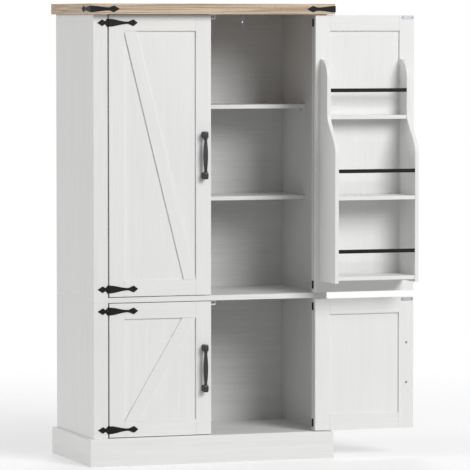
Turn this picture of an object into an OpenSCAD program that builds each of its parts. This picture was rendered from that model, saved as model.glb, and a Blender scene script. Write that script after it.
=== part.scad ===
// Farmhouse pantry cabinet: an upper unit stacked on a lower unit, on a plinth,
// under an oak top. Four framed doors swing on face-fixed strap hinges, and the
// upper doors carry storage racks on their inner faces.
//
// Frame: millimetres, +Z up, -Y towards the user. The origin is on the floor, in
// the middle of the plinth's footprint.

/* [Cabinet] */
// Width across the side panels
body_w = 968; // [840:1:1200]
// Depth from the face of the stiles to the back edges of the sides
body_d = 507; // [420:1:640]
// Overall height
total_h = 1803; // [1500:1:2200]
// Height of the underside of the middle deck
deck_z = 638; // [520:1:780]
// Thickness of the side panels
side_t = 16; // [12:0.5:22]
// Thickness of the middle deck
deck_t = 20; // [16:0.5:26]
// Thickness of the bottom deck
bottom_t = 16; // [12:0.5:22]
// Width of the front stiles
stile_w = 58; // [45:1:75]
// Thickness of the front stiles
stile_t = 18; // [14:0.5:24]

/* [Top] */
// Thickness of the oak top
top_t = 41.5; // [30:0.5:52]
// Overhang of the top in front of the stiles
top_front = 36.5; // [30:0.5:50]
// Overhang of the top at each side
top_side = 20.5; // [12:0.5:30]

/* [Plinth] */
// Height of the plinth
plinth_h = 107.5; // [80:0.5:140]
// Thickness of the plinth's front board
plinth_front_t = 23; // [16:0.5:30]
// Thickness of the plinth's side boards
plinth_side_t = 20.5; // [16:0.5:30]
// Thickness of the plinth's back and centre boards
plinth_rail_t = 18; // [12:0.5:24]
// Bevel along the plinth's top outer edge
plinth_bevel = 5; // [2:0.5:8]

/* [Back] */
// Thickness of the back panels
back_t = 5; // [3:0.5:8]
// Distance from the back panels to the back edges of the sides
back_inset = 25; // [12:1:40]
// Depth of the grooves that hold the back panels
back_groove = 8; // [5:0.5:10]

/* [Shelves] */
// Thickness of the shelves
shelf_t = 16; // [12:0.5:22]
// Clear height between the middle deck and the lower shelf
low_bay_h = 363; // [280:1:440]
// Clear height between the two shelves
mid_bay_h = 349; // [240:1:420]
// Gap at each end of a shelf
shelf_end_gap = 1; // [0.5:0.5:3]
// Gap between the closed racks and the shelves
rack_shelf_gap = 19; // [8:1:40]
// Radius of a shelf pin
shelf_pin_r = 2.5; // [2:0.1:3]
// Length of a shelf pin that stands out of the side panel
shelf_pin_out = 9; // [6:0.5:12]
// Depth of a shelf pin's hole
shelf_pin_in = 9; // [6:0.5:10]
// Distance from a shelf's front and back edges to its pins
shelf_pin_edge = 37; // [20:1:60]

/* [Doors] */
// Thickness of a door frame
door_t = 20; // [16:0.5:26]
// Width of the stiles and rails of a door
rail_w = 62; // [48:1:76]
// Thickness of a door panel
panel_t = 5; // [4:0.5:8]
// Depth of the groove that holds a door panel
panel_groove = 8; // [5:0.5:12]
// Width of the diagonal brace
brace_w = 48.5; // [35:0.5:62]
// Distance from a door's face to its brace
brace_set = 1.5; // [0.5:0.5:3]
// Gap between a door and its cabinet stile
hinge_gap = 6; // [4:0.5:9]
// Gap between two closed doors
centre_gap = 3; // [2:0.5:6]
// Gap above and below a door
door_gap = 3; // [2:0.5:6]
// Opening of the left doors at rest, in degrees
left_open = 0; // [0:5:180]
// Opening of the right doors at rest, in degrees
right_open = 180; // [0:5:180]

/* [Hinges] */
// Radius of a hinge knuckle
knuckle_r = 3.2; // [2.6:0.1:4.5]
// Height of a hinge
hinge_h = 30; // [24:1:40]
// Thickness of the hinge leaves and corner straps
leaf_t = 2; // [1.2:0.1:2.4]
// Distance from a door's ends to its hinge centres
hinge_edge = 30; // [24:1:40]
// Length of a door leaf from the hinge axis
door_leaf_l = 120; // [90:1:150]
// Length of a cabinet leaf from the hinge axis
frame_leaf_l = 45; // [36:1:54]
// Radius of a hinge pin
pin_r = 1.5; // [1.2:0.1:2]
// Length of each leg of a corner strap
strap_l = 118; // [90:1:140]
// Height of a corner strap at the corner
strap_h = 25; // [18:0.5:29]

/* [Handles] */
// Distance between a handle's bolts
handle_pitch = 160; // [128:1:224]
// Distance from a door's free edge to the handle's centre line
handle_edge = 30.5; // [26:0.5:36]
// Width of a handle's foot
foot_w = 24; // [18:0.5:28]
// Height of a handle's foot
foot_h = 28; // [22:0.5:34]
// Distance from the door to the handle's bar centre
handle_reach = 23; // [20:0.5:32]
// Largest radius of the handle's bar
grip_r = 9.5; // [7:0.5:11]
// Radius of the necks of the handle's bar
neck_r = 5.5; // [4:0.5:7]
// Radius of the handle's bolts
bolt_r = 2; // [1.5:0.1:2.5]
// Radius of the handle bolts' heads
bolt_head_r = 4.5; // [3.5:0.1:6]

/* [Door racks] */
// Depth of a rack below its curve
rack_d = 166; // [130:1:200]
// Depth of a rack above its curve
rack_top_d = 75; // [55:1:95]
// Thickness of a rack's boards
rack_t = 15; // [12:0.5:18]
// Distance from the door's lower end to the rack
rack_below = 45; // [30:1:70]
// Distance from the rack to the door's upper end
rack_above = 173; // [120:1:240]
// Distance from the hinge axis to the rack
rack_hinge_gap = 24; // [20:1:40]
// Gap that the swinging rack leaves at the cabinet's centre line
rack_swing_gap = 2; // [1.5:0.5:10]
// Height of the bottom shelf's top above the rack's lower end
rack_foot = 26; // [18:1:40]
// Height of the top bin, up to the rack's upper end
rack_top_bin = 222; // [150:1:260]
// Height of the retaining bars
bar_h = 15; // [10:0.5:22]
// Thickness of the retaining bars
bar_t = 4; // [2:0.5:8]
// Height of the retaining bars' centres above their shelves
bar_rise = 99; // [60:1:130]

/* [Hardware] */
// Distance from the cabinet's centre line to each wall bracket
bracket_x = 296; // [200:1:380]
// Width of a wall bracket
bracket_w = 22; // [16:0.5:30]
// Height of a wall bracket
bracket_h = 47; // [36:0.5:60]
// Depth of a wall bracket under the top
bracket_d = 30; // [22:0.5:40]
// Thickness of a wall bracket
bracket_t = 2; // [1.5:0.1:3]
// Radius of a wall bracket's screw hole
bracket_hole_r = 3; // [2.5:0.1:4]
// Width of a magnetic catch
catch_w = 50; // [40:1:70]
// Height of a magnetic catch
catch_h = 20; // [16:0.5:22]
// Depth of a magnetic catch
catch_d = 18; // [12:0.5:24]
// Width of a strike plate
strike_w = 51; // [40:1:60]
// Height of a strike plate
strike_h = 14; // [12:0.5:18]
// Thickness of a strike plate
strike_t = 1.5; // [1:0.1:2.5]
// Gap between a strike plate and its magnet
strike_gap = 0.5; // [0.3:0.1:1]
// Radius of the wood screws
screw_r = 1.5; // [1.2:0.1:2]
// Length of the wood screws in the wood
screw_l = 11; // [8:0.5:12]
// Radius of the wood screws' heads
screw_head_r = 3; // [2.5:0.1:3.5]
// Radius of the dowels
dowel_r = 4; // [3:0.1:5]
// Length of a dowel in the boards it joins
dowel_l = 12; // [8:0.5:20]

/* [Hidden] */
$fn = 48;
LEFT = -1;
RIGHT = 1;
UPPER = 1;
LOWER = 0;
CURVE_STEPS = 12;
// Shares of the length and root height: waist along, waist height, diamond along, its height
CORNER_SHAPE = [0.62, 0.5, 0.8, 1];
CABINET_LEAF_SHAPE = [0.29, 0.45, 0.56, 0.83];
DOOR_LEAF_SHAPE = [0.65, 0.3, 0.865, 0.83];

// Clearances
pin_play = 0.05; // running fit of a door leaf on its pin
fit_play = 0.1; // everything that is pushed or screwed in
knuckle_play = 0.3; // between the knuckles of a hinge
leaf_play = 0.6; // between a leaf and the other leaf's knuckles
cut = 1; // how far a cut runs past a face

// Footprint and heights
half_w = body_w / 2;
inner_w = half_w - side_t;
front_y = -(body_d + plinth_front_t) / 2 + plinth_front_t;
rear_y = front_y + body_d;
top_z = total_h - top_t;
deck_top = deck_z + deck_t;
bay_x = half_w - stile_w;
back_y0 = rear_y - back_inset - back_t;
back_y1 = rear_y - back_inset;
sides_y = front_y + stile_t;

// Shelves
shelf_tops = [deck_top + low_bay_h + shelf_t, deck_top + low_bay_h + mid_bay_h + 2 * shelf_t];
shelf_y0 = front_y + door_t + rack_d + rack_shelf_gap;
shelf_y1 = back_y0 - shelf_end_gap;
shelf_pin_ys = [shelf_y0 + shelf_pin_edge, shelf_y1 - shelf_pin_edge];

// Doors, in a frame of their own: x runs from the hinge axis to the free edge, y
// runs from the hinge axis into the cabinet, and z is the cabinet's
axis_x = bay_x - hinge_gap / 2;
axis_y = front_y - knuckle_r;
face_y = knuckle_r;
inner_y = face_y + door_t;
edge_x0 = hinge_gap / 2;
edge_x1 = axis_x - centre_gap / 2;
panel_y0 = face_y + (door_t - panel_t) / 2;
panel_y1 = panel_y0 + panel_t;
rail_x0 = edge_x0 + rail_w + fit_play;
rail_x1 = edge_x1 - rail_w - fit_play;
function door_z0(level) = (level == UPPER ? deck_top : plinth_h) + door_gap;
function door_z1(level) = (level == UPPER ? top_z : deck_z) - door_gap;
function door_mid(level) = (door_z0(level) + door_z1(level)) / 2;
function hinge_zs(level) = [door_z0(level) + hinge_edge, door_z1(level) - hinge_edge];
LEVELS = [LOWER, UPPER];
SIDES = [LEFT, RIGHT];

// Hinges
knuckle_h = hinge_h / 3;
leaf_x0 = knuckle_r + leaf_play;
tongue_lap = 0.5;
door_leaf_screws = [0.17, 0.44, DOOR_LEAF_SHAPE[2]] * door_leaf_l;
frame_leaf_screws = [CABINET_LEAF_SHAPE[0], CABINET_LEAF_SHAPE[2]] * frame_leaf_l;
countersink = screw_head_r - screw_r;
strap_screws = [0.36, CORNER_SHAPE[2]] * strap_l;
pin_head_r = knuckle_r - 0.8;
pin_head_h = 1;

// Handles
handle_x = edge_x1 - handle_edge;
function bolt_zs(level) = [door_mid(level) - handle_pitch / 2, door_mid(level) + handle_pitch / 2];
foot_base = 4;
foot_corner = 4;
post_w = foot_w - 5;
post_h = foot_h - 6;
post_corner = 5;
post_reach = handle_reach + 8;
collar_z = handle_pitch / 2 - foot_h * 0.62;
collar_h = 4;
collar_r = neck_r + 2;
bolt_head_h = 2.2;
bolt_grip = 10;

// Racks: the free side clears the neighbouring door and the handle's bolt heads
rack_x0 = rack_hinge_gap;
rack_reach_y = inner_y + rack_d;
rack_swing_x = sqrt(pow(axis_x - rack_swing_gap, 2) - pow(rack_reach_y, 2));
rack_bolt_gap = 8;
rack_bolt_x = handle_x - bolt_head_r - rack_bolt_gap;
rack_x1 = min(rack_swing_x, rack_bolt_x);
rack_z0 = door_z0(UPPER) + rack_below;
rack_z1 = door_z1(UPPER) - rack_above;
rack_high_top = rack_z1 - rack_top_bin;
rack_low_top = rack_z0 + rack_foot;
rack_tops = [rack_low_top, (rack_low_top + rack_high_top) / 2, rack_high_top];
curve_rise = 8; // the curve ends this far above the top shelf
curve_h = 153;
curve_z1 = rack_high_top + curve_rise;
curve_z0 = curve_z1 - curve_h;
rack_lip = 2;

// Rack fixings: hidden bolts at the hinge side, corner brackets at the free side
rack_fixing_end = 30; // from each end of a rack's straight edges to its fixings
rack_fixing_zs = [rack_z0 + rack_fixing_end, rack_z1 - rack_top_d - rack_fixing_end];
rack_bolt_r = 3;
rack_bolt_in_door = 8;
rack_bolt_in_rack = 14;
rack_bracket_t = 1.5;
rack_bracket_h = 14;
rack_bracket_leg = 18;
rack_screw_end = 6; // from the end of a bracket's leg to its screw
rack_screw_x = edge_x1 - (rail_w - panel_groove) / 2;

// Strike plates and catches
strike_side_edge = 2.5;
strike_top_edge = 1.5;
strike_corner = 3;
strike_screw_end = 6;
strike_x1 = edge_x1 - strike_side_edge;
strike_x0 = strike_x1 - strike_w;
strike_screws = [strike_x0 + strike_screw_end, strike_x1 - strike_screw_end];
function strike_z(level) = door_z1(level) - strike_top_edge - strike_h / 2;
catch_y0 = front_y + door_t + strike_t + strike_gap;
catch_ear = 8; // how far a mounting ear stands out at each end of a catch
catch_ear_t = 3;
catch_ear_inset = 3;
catch_roofs = [deck_z, top_z];
magnet_w = 16;
magnet_h = 9;
magnet_recess = 2;

// Wall brackets
bracket_hole_low = 17; // from the bracket's lower end to its wall screw
bracket_hole_z = top_z - bracket_h + bracket_hole_low;
bracket_screw_y = back_y0 - bracket_d * 0.55;
bracket_corner = 2;
wall_hole_r = bracket_hole_r + 2;

// Dowels: how far along the sides they stand, and the joints they cross
dowel_end = 60;
dowel_ys = [sides_y + dowel_end, (sides_y + back_y0) / 2, back_y0 - dowel_end];
dowel_x = half_w - side_t / 2;
dowel_spans = [[deck_z - dowel_l, deck_top + dowel_l], [top_z - dowel_l, top_z + dowel_l]];

// ---------- helpers ----------

// A box between two opposite corners
module board(low, high) {
    translate(low)
        cube(high - low);
}

// A flat shape drawn in X and Z, thick from y0 to y1
module plate_xz(y0, y1) {
    translate([0, y1, 0])
        rotate([90, 0, 0])
            linear_extrude(y1 - y0)
                children();
}

// A flat shape drawn in Y and Z, thick from x0 to x1
module plate_yz(x0, x1) {
    translate([x0, 0, 0])
        rotate([90, 0, 90])
            linear_extrude(x1 - x0)
                children();
}

module rod_x(x0, x1, y, z, r) {
    translate([x0, y, z])
        rotate([0, 90, 0])
            cylinder(h = x1 - x0, r = r);
}

module rod_y(x, y0, y1, z, r) {
    translate([x, y1, z])
        rotate([90, 0, 0])
            cylinder(h = y1 - y0, r = r);
}

module rod_z(x, y, z0, z1, r) {
    translate([x, y, z0])
        cylinder(h = z1 - z0, r = r);
}

// A rectangle about the origin with round corners
module round_rect(w, h, r) {
    square([w, h - 2 * r], center = true);
    square([w - 2 * r, h], center = true);
    for (sx = SIDES, sz = SIDES)
        translate([sx * (w / 2 - r), sz * (h / 2 - r)])
            circle(r = r);
}

// A smooth step from a to b as t runs from 0 to 1
function ease(a, b, t) = a + (b - a) * (1 - cos(180 * t)) / 2;

// Points of a smooth step between two points [along, across]
function ease_points(p, q) = [
    for (i = [0 : CURVE_STEPS - 1])
        [p[0] + (q[0] - p[0]) * i / CURVE_STEPS, ease(p[1], q[1], i / CURVE_STEPS)]
];

// Outline of a decorative strap along +x, from its root past a waist and a diamond to a
// pointed tip. The shape gives the waist and the diamond as shares of length and root height
module strap_outline(root_x, root_h, tip_x, shape) {
    waist = [shape[0] * tip_x, shape[1] * root_h / 2];
    diamond = [shape[2] * tip_x, shape[3] * root_h / 2];
    top = concat(
        ease_points([root_x, root_h / 2], waist),
        ease_points(waist, diamond),
        [diamond, [tip_x, 0]]
    );
    bottom = [for (i = [len(top) - 2 : -1 : 0]) [top[i][0], -top[i][1]]];
    polygon(concat(top, bottom));
}

// Turns the left side's shape into the right side's
module for_side(side) {
    if (side == RIGHT)
        mirror([1, 0, 0])
            children();
    else
        children();
}

// Puts a shape that is drawn in the doors' frame onto the cabinet of one side
module on_cabinet(side) {
    translate([side * axis_x, axis_y, 0])
        for_side(side)
            children();
}

// Puts a shape that is drawn in the doors' frame onto the doors of one side
module on_door(side) {
    angle = side == LEFT ? left_open : right_open;
    translate([side * axis_x, axis_y, 0])
        rotate([0, 0, side * angle])
            for_side(side)
                children();
}

// A countersunk wood screw at the origin, driven along +y through a flat piece
module screw_y(play = 0) {
    rotate([-90, 0, 0]) {
        cylinder(h = countersink, r1 = screw_head_r + play, r2 = screw_r + play);
        cylinder(h = screw_l + play, r = screw_r + play);
    }
}

// ---------- carcass ----------

module top_panel() {
    color("burlywood")
        difference() {
            board(
                [-half_w - top_side, front_y - top_front, top_z],
                [half_w + top_side, rear_y, total_h]
            );
            side_dowels(fit_play);
            bracket_screws(fit_play);
            catch_screws(top_z, fit_play);
            strap_nails(fit_play);
        }
}

// One strap wraps each front corner of the top
module corner_straps() {
    mid_z = total_h - top_t / 2;
    color("dimgray")
        difference() {
            for (side = SIDES)
                for_side(side)
                    corner_strap(mid_z);
            strap_nails(fit_play);
        }
}

module corner_strap(mid_z) {
    corner = [-half_w - top_side, front_y - top_front, mid_z];
    translate(corner) {
        plate_xz(-leaf_t, 0)
            strap_leg();
        plate_yz(-leaf_t, 0)
            strap_leg();
        translate([-leaf_t, -leaf_t, -strap_h / 2])
            cube([leaf_t, leaf_t, strap_h]);
    }
}

module strap_leg() {
    strap_outline(0, strap_h, strap_l, CORNER_SHAPE);
}

// The nails of the corner straps, or with play the holes that they leave
module strap_nails(play = 0) {
    mid_z = total_h - top_t / 2;
    for (side = SIDES, along = strap_screws)
        for_side(side)
            translate([-half_w - top_side, front_y - top_front, mid_z]) {
                translate([along, -leaf_t, 0])
                    screw_y(play);
                translate([-leaf_t, along, 0])
                    rotate([0, 0, -90])
                        screw_y(play);
            }
}

// A side panel from z0 to z1 on the left, grooved for the back panel
module side_panel(side, z0, z1) {
    color("whitesmoke")
        for_side(side)
            difference() {
                board([-half_w, sides_y, z0], [-inner_w, rear_y, z1]);
                board(
                    [-inner_w - back_groove, back_y0 - fit_play, z0 - cut],
                    [-inner_w + cut, back_y1 + fit_play, z1 + cut]
                );
                side_dowels(fit_play);
                bottom_dowels(fit_play);
                left_shelf_pins(fit_play);
            }
}

// The upright dowels that join the sides to the decks and the top, or with play their holes
module side_dowels(play = 0) {
    for (side = SIDES, y = dowel_ys, span = dowel_spans)
        rod_z(side * dowel_x, y, span[0] - play, span[1] + play, dowel_r + play);
}

// The dowels that join the bottom deck to the sides
module bottom_dowels(play = 0) {
    for (side = SIDES, y = dowel_ys)
        for_side(side)
            rod_x(
                -dowel_x - play, -inner_w + dowel_l + play, y,
                plinth_h - bottom_t / 2, dowel_r + play
            );
}

module dowels() {
    color("tan") {
        side_dowels();
        bottom_dowels();
    }
}

// A front stile of the cabinet from z0 to z1
module stile(side, z0, z1) {
    color("white")
        difference() {
            for_side(side)
                board([-half_w, front_y, z0], [-bay_x, sides_y, z1]);
            cabinet_leaf_screws(fit_play);
        }
}

// The middle deck fills the front between the stiles and runs full width behind them
module mid_deck() {
    color("whitesmoke")
        difference() {
            union() {
                board([-half_w, sides_y, deck_z], [half_w, rear_y, deck_top]);
                board([-bay_x, front_y, deck_z], [bay_x, sides_y, deck_top]);
            }
            side_dowels(fit_play);
            catch_screws(deck_z, fit_play);
        }
}

module bottom_deck() {
    z0 = plinth_h - bottom_t;
    color("whitesmoke")
        difference() {
            union() {
                board([-inner_w, sides_y, z0], [inner_w, rear_y, plinth_h]);
                board([-bay_x, front_y, z0], [bay_x, sides_y, plinth_h]);
            }
            bottom_dowels(fit_play);
        }
}

// A back panel that stands in the grooves of the sides
module back_panel(z0, z1) {
    reach = inner_w + back_groove - fit_play;
    color("gainsboro")
        difference() {
            board([-reach, back_y0, z0], [reach, back_y1, z1]);
            for (side = SIDES)
                rod_y(side * bracket_x, back_y0 - cut, back_y1 + cut, bracket_hole_z, wall_hole_r);
        }
}

module shelf(index) {
    reach = inner_w - shelf_end_gap;
    color("whitesmoke")
        board(
            [-reach, shelf_y0, shelf_tops[index] - shelf_t],
            [reach, shelf_y1, shelf_tops[index]]
        );
}

// The shelf pins of the left side, or with play their holes
module left_shelf_pins(play = 0) {
    for (top = shelf_tops, y = shelf_pin_ys)
        rod_x(
            -inner_w - shelf_pin_in - play, -inner_w + shelf_pin_out, y,
            top - shelf_t - shelf_pin_r, shelf_pin_r + play
        );
}

module shelf_pins() {
    color("silver")
        for (side = SIDES)
            for_side(side)
                left_shelf_pins();
}

// ---------- plinth ----------

// The bevelled block that the plinth's front and side boards are cut from
module plinth_block() {
    outer_x = half_w + plinth_side_t;
    outer_y = front_y - plinth_front_t;
    shoulder = plinth_h - plinth_bevel;
    intersection() {
        plate_yz(-outer_x, outer_x)
            polygon([
                [outer_y, 0], [rear_y, 0], [rear_y, plinth_h],
                [outer_y + plinth_bevel, plinth_h], [outer_y, shoulder]
            ]);
        plate_xz(outer_y, rear_y)
            polygon([
                [-outer_x, 0], [outer_x, 0], [outer_x, shoulder],
                [outer_x - plinth_bevel, plinth_h], [plinth_bevel - outer_x, plinth_h],
                [-outer_x, shoulder]
            ]);
    }
}

module plinth_front() {
    outer_x = half_w + plinth_side_t;
    color("white")
        intersection() {
            plinth_block();
            linear_extrude(plinth_h)
                polygon([
                    [-outer_x, front_y - plinth_front_t], [outer_x, front_y - plinth_front_t],
                    [half_w, front_y], [-half_w, front_y]
                ]);
        }
}

module plinth_sides() {
    outer_x = half_w + plinth_side_t;
    color("white")
        for (side = SIDES)
            intersection() {
                plinth_block();
                linear_extrude(plinth_h)
                    for_side(side)
                        polygon([
                            [-outer_x, front_y - plinth_front_t], [-half_w, front_y],
                            [-half_w, rear_y], [-outer_x, rear_y]
                        ]);
            }
}

// The back rail between the sides and the centre rail under the bottom deck
module plinth_rails() {
    under = plinth_h - bottom_t;
    rail_y = rear_y - plinth_rail_t;
    color("whitesmoke") {
        board([-inner_w, rail_y, 0], [inner_w, rear_y, under]);
        board([-plinth_rail_t / 2, front_y, 0], [plinth_rail_t / 2, rail_y - fit_play, under]);
    }
}

// ---------- carcass hardware ----------

// One bracket at each side hangs under the top against the back panel
module wall_brackets() {
    color("silver")
        difference() {
            for (side = SIDES)
                translate([side * bracket_x, 0, 0]) {
                    plate_xz(back_y0 - bracket_t, back_y0)
                        translate([0, top_z - bracket_h / 2])
                            round_rect(bracket_w, bracket_h, bracket_corner);
                    board(
                        [-bracket_w / 2, back_y0 - bracket_d, top_z - bracket_t],
                        [bracket_w / 2, back_y0, top_z]
                    );
                }
            for (side = SIDES)
                rod_y(
                    side * bracket_x, back_y0 - bracket_t - cut, back_y0 + cut, bracket_hole_z,
                    bracket_hole_r
                );
            bracket_screws(fit_play);
        }
}

module bracket_screws(play = 0) {
    for (side = SIDES)
        translate([side * bracket_x, bracket_screw_y, top_z - bracket_t])
            rotate([90, 0, 0])
                screw_y(play);
}

// A double magnetic catch under the middle deck and one under the top
module magnet_catches() {
    color("white")
        for (roof = catch_roofs)
            difference() {
                union() {
                    board(
                        [-catch_w / 2, catch_y0, roof - catch_h],
                        [catch_w / 2, catch_y0 + catch_d, roof]
                    );
                    board(
                        [-catch_w / 2 - catch_ear, catch_y0 + catch_ear_inset, roof - catch_ear_t],
                        [catch_w / 2 + catch_ear, catch_y0 + catch_d - catch_ear_inset, roof]
                    );
                }
                catch_screws(roof, fit_play);
                for (side = SIDES)
                    translate([side * catch_w / 4, catch_y0, roof - catch_h / 2])
                        board(
                            [-magnet_w / 2, -cut, -magnet_h / 2],
                            [magnet_w / 2, magnet_recess, magnet_h / 2]
                        );
            }
}

module catch_screws(roof, play = 0) {
    for (side = SIDES)
        translate([
            side * (catch_w + catch_ear) / 2, catch_y0 + catch_d / 2, roof - catch_ear_t
        ])
            rotate([90, 0, 0])
                screw_y(play);
}

module carcass_screws() {
    color("silver") {
        cabinet_leaf_screws();
        strap_nails();
        bracket_screws();
        for (roof = catch_roofs)
            catch_screws(roof);
    }
}

// ---------- hinges ----------

// One knuckle of a hinge about the axis, from z0 to z1
module knuckle(z0, z1, bore_r) {
    difference() {
        union() {
            rod_z(0, 0, z0, z1, knuckle_r);
            children();
        }
        rod_z(0, 0, z0 - cut, z1 + cut, bore_r);
    }
}

// The flat tongue that ties a knuckle to a leaf on the side that sign gives
module knuckle_tongue(sign, z0, z1) {
    reach = leaf_x0 + tongue_lap;
    board(
        [sign < 0 ? -reach : 0, face_y - leaf_t, z0],
        [sign < 0 ? 0 : reach, face_y, z1]
    );
}

module hinge_cabinet_leaves() {
    color("dimgray")
        difference() {
            for (side = SIDES, level = LEVELS, z = hinge_zs(level))
                on_cabinet(side)
                    translate([0, 0, z])
                        cabinet_leaf();
            cabinet_leaf_screws(fit_play);
        }
}

module cabinet_leaf() {
    inner = knuckle_h / 2 + knuckle_play / 2;
    for (span = [[inner, hinge_h / 2], [-hinge_h / 2, -inner]])
        knuckle(span[0], span[1], pin_r)
            knuckle_tongue(-1, span[0], span[1]);
    mirror([1, 0, 0])
        plate_xz(face_y - leaf_t, face_y)
            strap_outline(leaf_x0, hinge_h, frame_leaf_l, CABINET_LEAF_SHAPE);
}

// The screws of the cabinet leaves, or with play the holes that they leave
module cabinet_leaf_screws(play = 0) {
    for (side = SIDES, level = LEVELS, z = hinge_zs(level), x = frame_leaf_screws)
        on_cabinet(side)
            translate([-x, face_y - leaf_t, z])
                screw_y(play);
}

module hinge_pins() {
    color("dimgray")
        for (side = SIDES, level = LEVELS, z = hinge_zs(level))
            on_cabinet(side) {
                rod_z(0, 0, z - hinge_h / 2, z + hinge_h / 2, pin_r);
                rod_z(0, 0, z + hinge_h / 2, z + hinge_h / 2 + pin_head_h, pin_head_r);
                rod_z(0, 0, z - hinge_h / 2 - pin_head_h, z - hinge_h / 2, pin_head_r);
            }
}

module door_hinge_leaves(side, level) {
    half = knuckle_h / 2 - knuckle_play / 2;
    color("dimgray")
        on_door(side)
            difference() {
                for (z = hinge_zs(level))
                    translate([0, 0, z]) {
                        knuckle(-half, half, pin_r + pin_play)
                            knuckle_tongue(1, -half, half);
                        plate_xz(face_y - leaf_t, face_y)
                            strap_outline(leaf_x0, hinge_h, door_leaf_l, DOOR_LEAF_SHAPE);
                    }
                door_leaf_screw_set(level, fit_play);
            }
}

module door_leaf_screw_set(level, play = 0) {
    for (z = hinge_zs(level), x = door_leaf_screws)
        translate([x, face_y - leaf_t, z])
            screw_y(play);
}

// ---------- doors ----------

// Two full-height stiles with two rails between them, grooved for the panel
module door_frame(side, level) {
    z0 = door_z0(level);
    z1 = door_z1(level);
    color("white")
        on_door(side)
            difference() {
                union() {
                    for (x = [edge_x0, edge_x1 - rail_w])
                        board([x, face_y, z0], [x + rail_w, inner_y, z1]);
                    for (z = [z0, z1 - rail_w])
                        board([rail_x0, face_y, z], [rail_x1, inner_y, z + rail_w]);
                }
                board(
                    [edge_x0 + rail_w - panel_groove, panel_y0 - fit_play, z0 + rail_w - panel_groove],
                    [edge_x1 - rail_w + panel_groove, panel_y1 + fit_play, z1 - rail_w + panel_groove]
                );
                door_leaf_screw_set(level, fit_play);
                handle_bolts(level, fit_play);
                strike_screw_set(level, fit_play);
                if (level == UPPER)
                    rack_fasteners(fit_play);
            }
}

module door_panel(side, level) {
    tongue = panel_groove - 2 * fit_play;
    color("white")
        on_door(side)
            board(
                [edge_x0 + rail_w - tongue, panel_y0, door_z0(level) + rail_w - tongue],
                [edge_x1 - rail_w + tongue, panel_y1, door_z1(level) - rail_w + tongue]
            );
}

// The length that a board of width b takes along the rail when it crosses a w by h opening
function brace_run(w, h, b) =
    (b * sqrt(pow(b * w, 2) + (h * h - b * b) * (w * w + h * h)) - b * b * w) / (h * h - b * b);

// The brace crosses the opening, and leans the other way on the lower doors
module door_brace(side, level) {
    z0 = door_z0(level) + rail_w + fit_play;
    z1 = door_z1(level) - rail_w - fit_play;
    run = brace_run(rail_x1 - rail_x0, z1 - z0, brace_w);
    foot_z = level == UPPER ? z0 : z1;
    head_z = level == UPPER ? z1 : z0;
    color("white")
        on_door(side)
            plate_xz(face_y + brace_set, panel_y0)
                polygon([
                    [rail_x0, head_z], [rail_x0 + run, head_z],
                    [rail_x1, foot_z], [rail_x1 - run, foot_z]
                ]);
}

// A cast handle: two square feet with posts, joined by a swelling bar with collars
module door_handle(side, level) {
    color("dimgray")
        on_door(side)
            difference() {
                union() {
                    for (z = bolt_zs(level))
                        handle_foot(z);
                    translate([handle_x, face_y - handle_reach, door_mid(level)])
                        handle_bar();
                }
                handle_bolts(level, 0);
            }
}

module handle_foot(z) {
    plate_xz(face_y - foot_base, face_y)
        translate([handle_x, z])
            round_rect(foot_w, foot_h, foot_corner);
    plate_xz(face_y - post_reach, face_y - foot_base)
        translate([handle_x, z])
            round_rect(post_w, post_h, post_corner);
}

module handle_bar() {
    half = handle_pitch / 2;
    swell = [for (i = [-CURVE_STEPS : CURVE_STEPS])
        [ease(grip_r, neck_r, abs(i) / CURVE_STEPS), collar_z * i / CURVE_STEPS]];
    rotate_extrude()
        polygon(concat([[0, -half]], [[neck_r, -half]], swell, [[neck_r, half]], [[0, half]]));
    for (sign = SIDES)
        translate([0, 0, sign * collar_z - collar_h / 2])
            cylinder(h = collar_h, r = collar_r);
}

// The handle's bolts, driven from the door's inner face into the posts
module handle_bolts(level, play = 0) {
    for (z = bolt_zs(level)) {
        rod_y(handle_x, face_y - bolt_grip, inner_y, z, bolt_r + play);
        if (play == 0)
            rod_y(handle_x, inner_y, inner_y + bolt_head_h, z, bolt_head_r);
    }
}

module door_strike_plate(side, level) {
    color("silver")
        on_door(side)
            difference() {
                plate_xz(inner_y, inner_y + strike_t)
                    translate([(strike_x0 + strike_x1) / 2, strike_z(level)])
                        round_rect(strike_w, strike_h, strike_corner);
                strike_screw_set(level, fit_play);
            }
}

module strike_screw_set(level, play = 0) {
    for (x = strike_screws)
        translate([x, inner_y + strike_t, strike_z(level)])
            mirror([0, 1, 0])
                screw_y(play);
}

// The screws and bolts of one door, with the corner brackets of its rack
module door_fixings(side, level) {
    color("silver")
        on_door(side) {
            door_leaf_screw_set(level);
            handle_bolts(level);
            strike_screw_set(level);
            if (level == UPPER) {
                rack_brackets();
                rack_fasteners();
            }
        }
}

// ---------- door racks ----------

// Outline of a rack's side: deep below, shallow above, with a rounded top corner
module rack_outline() {
    deep = inner_y + rack_d;
    shallow = inner_y + rack_top_d;
    curve = [for (p = ease_points([curve_z0, deep], [curve_z1, shallow])) [p[1], p[0]]];
    corner = [for (i = [0 : CURVE_STEPS])
        let (a = 90 * i / CURVE_STEPS)
            [inner_y + rack_top_d * cos(a), rack_z1 - rack_top_d * (1 - sin(a))]];
    polygon(concat([[inner_y, rack_z0], [deep, rack_z0]], curve, [[shallow, curve_z1]], corner));
}

module rack_sides(side) {
    color("white")
        on_door(side)
            difference() {
                union() {
                    plate_yz(rack_x0, rack_x0 + rack_t)
                        rack_outline();
                    plate_yz(rack_x1 - rack_t, rack_x1)
                        rack_outline();
                }
                rack_fasteners(fit_play);
            }
}

// The depth of the rack's side at height z
function rack_depth(z) =
    z <= curve_z0 ? rack_d
    : z >= curve_z1 ? rack_top_d
    : ease(rack_d, rack_top_d, (z - curve_z0) / (curve_z1 - curve_z0));

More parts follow.
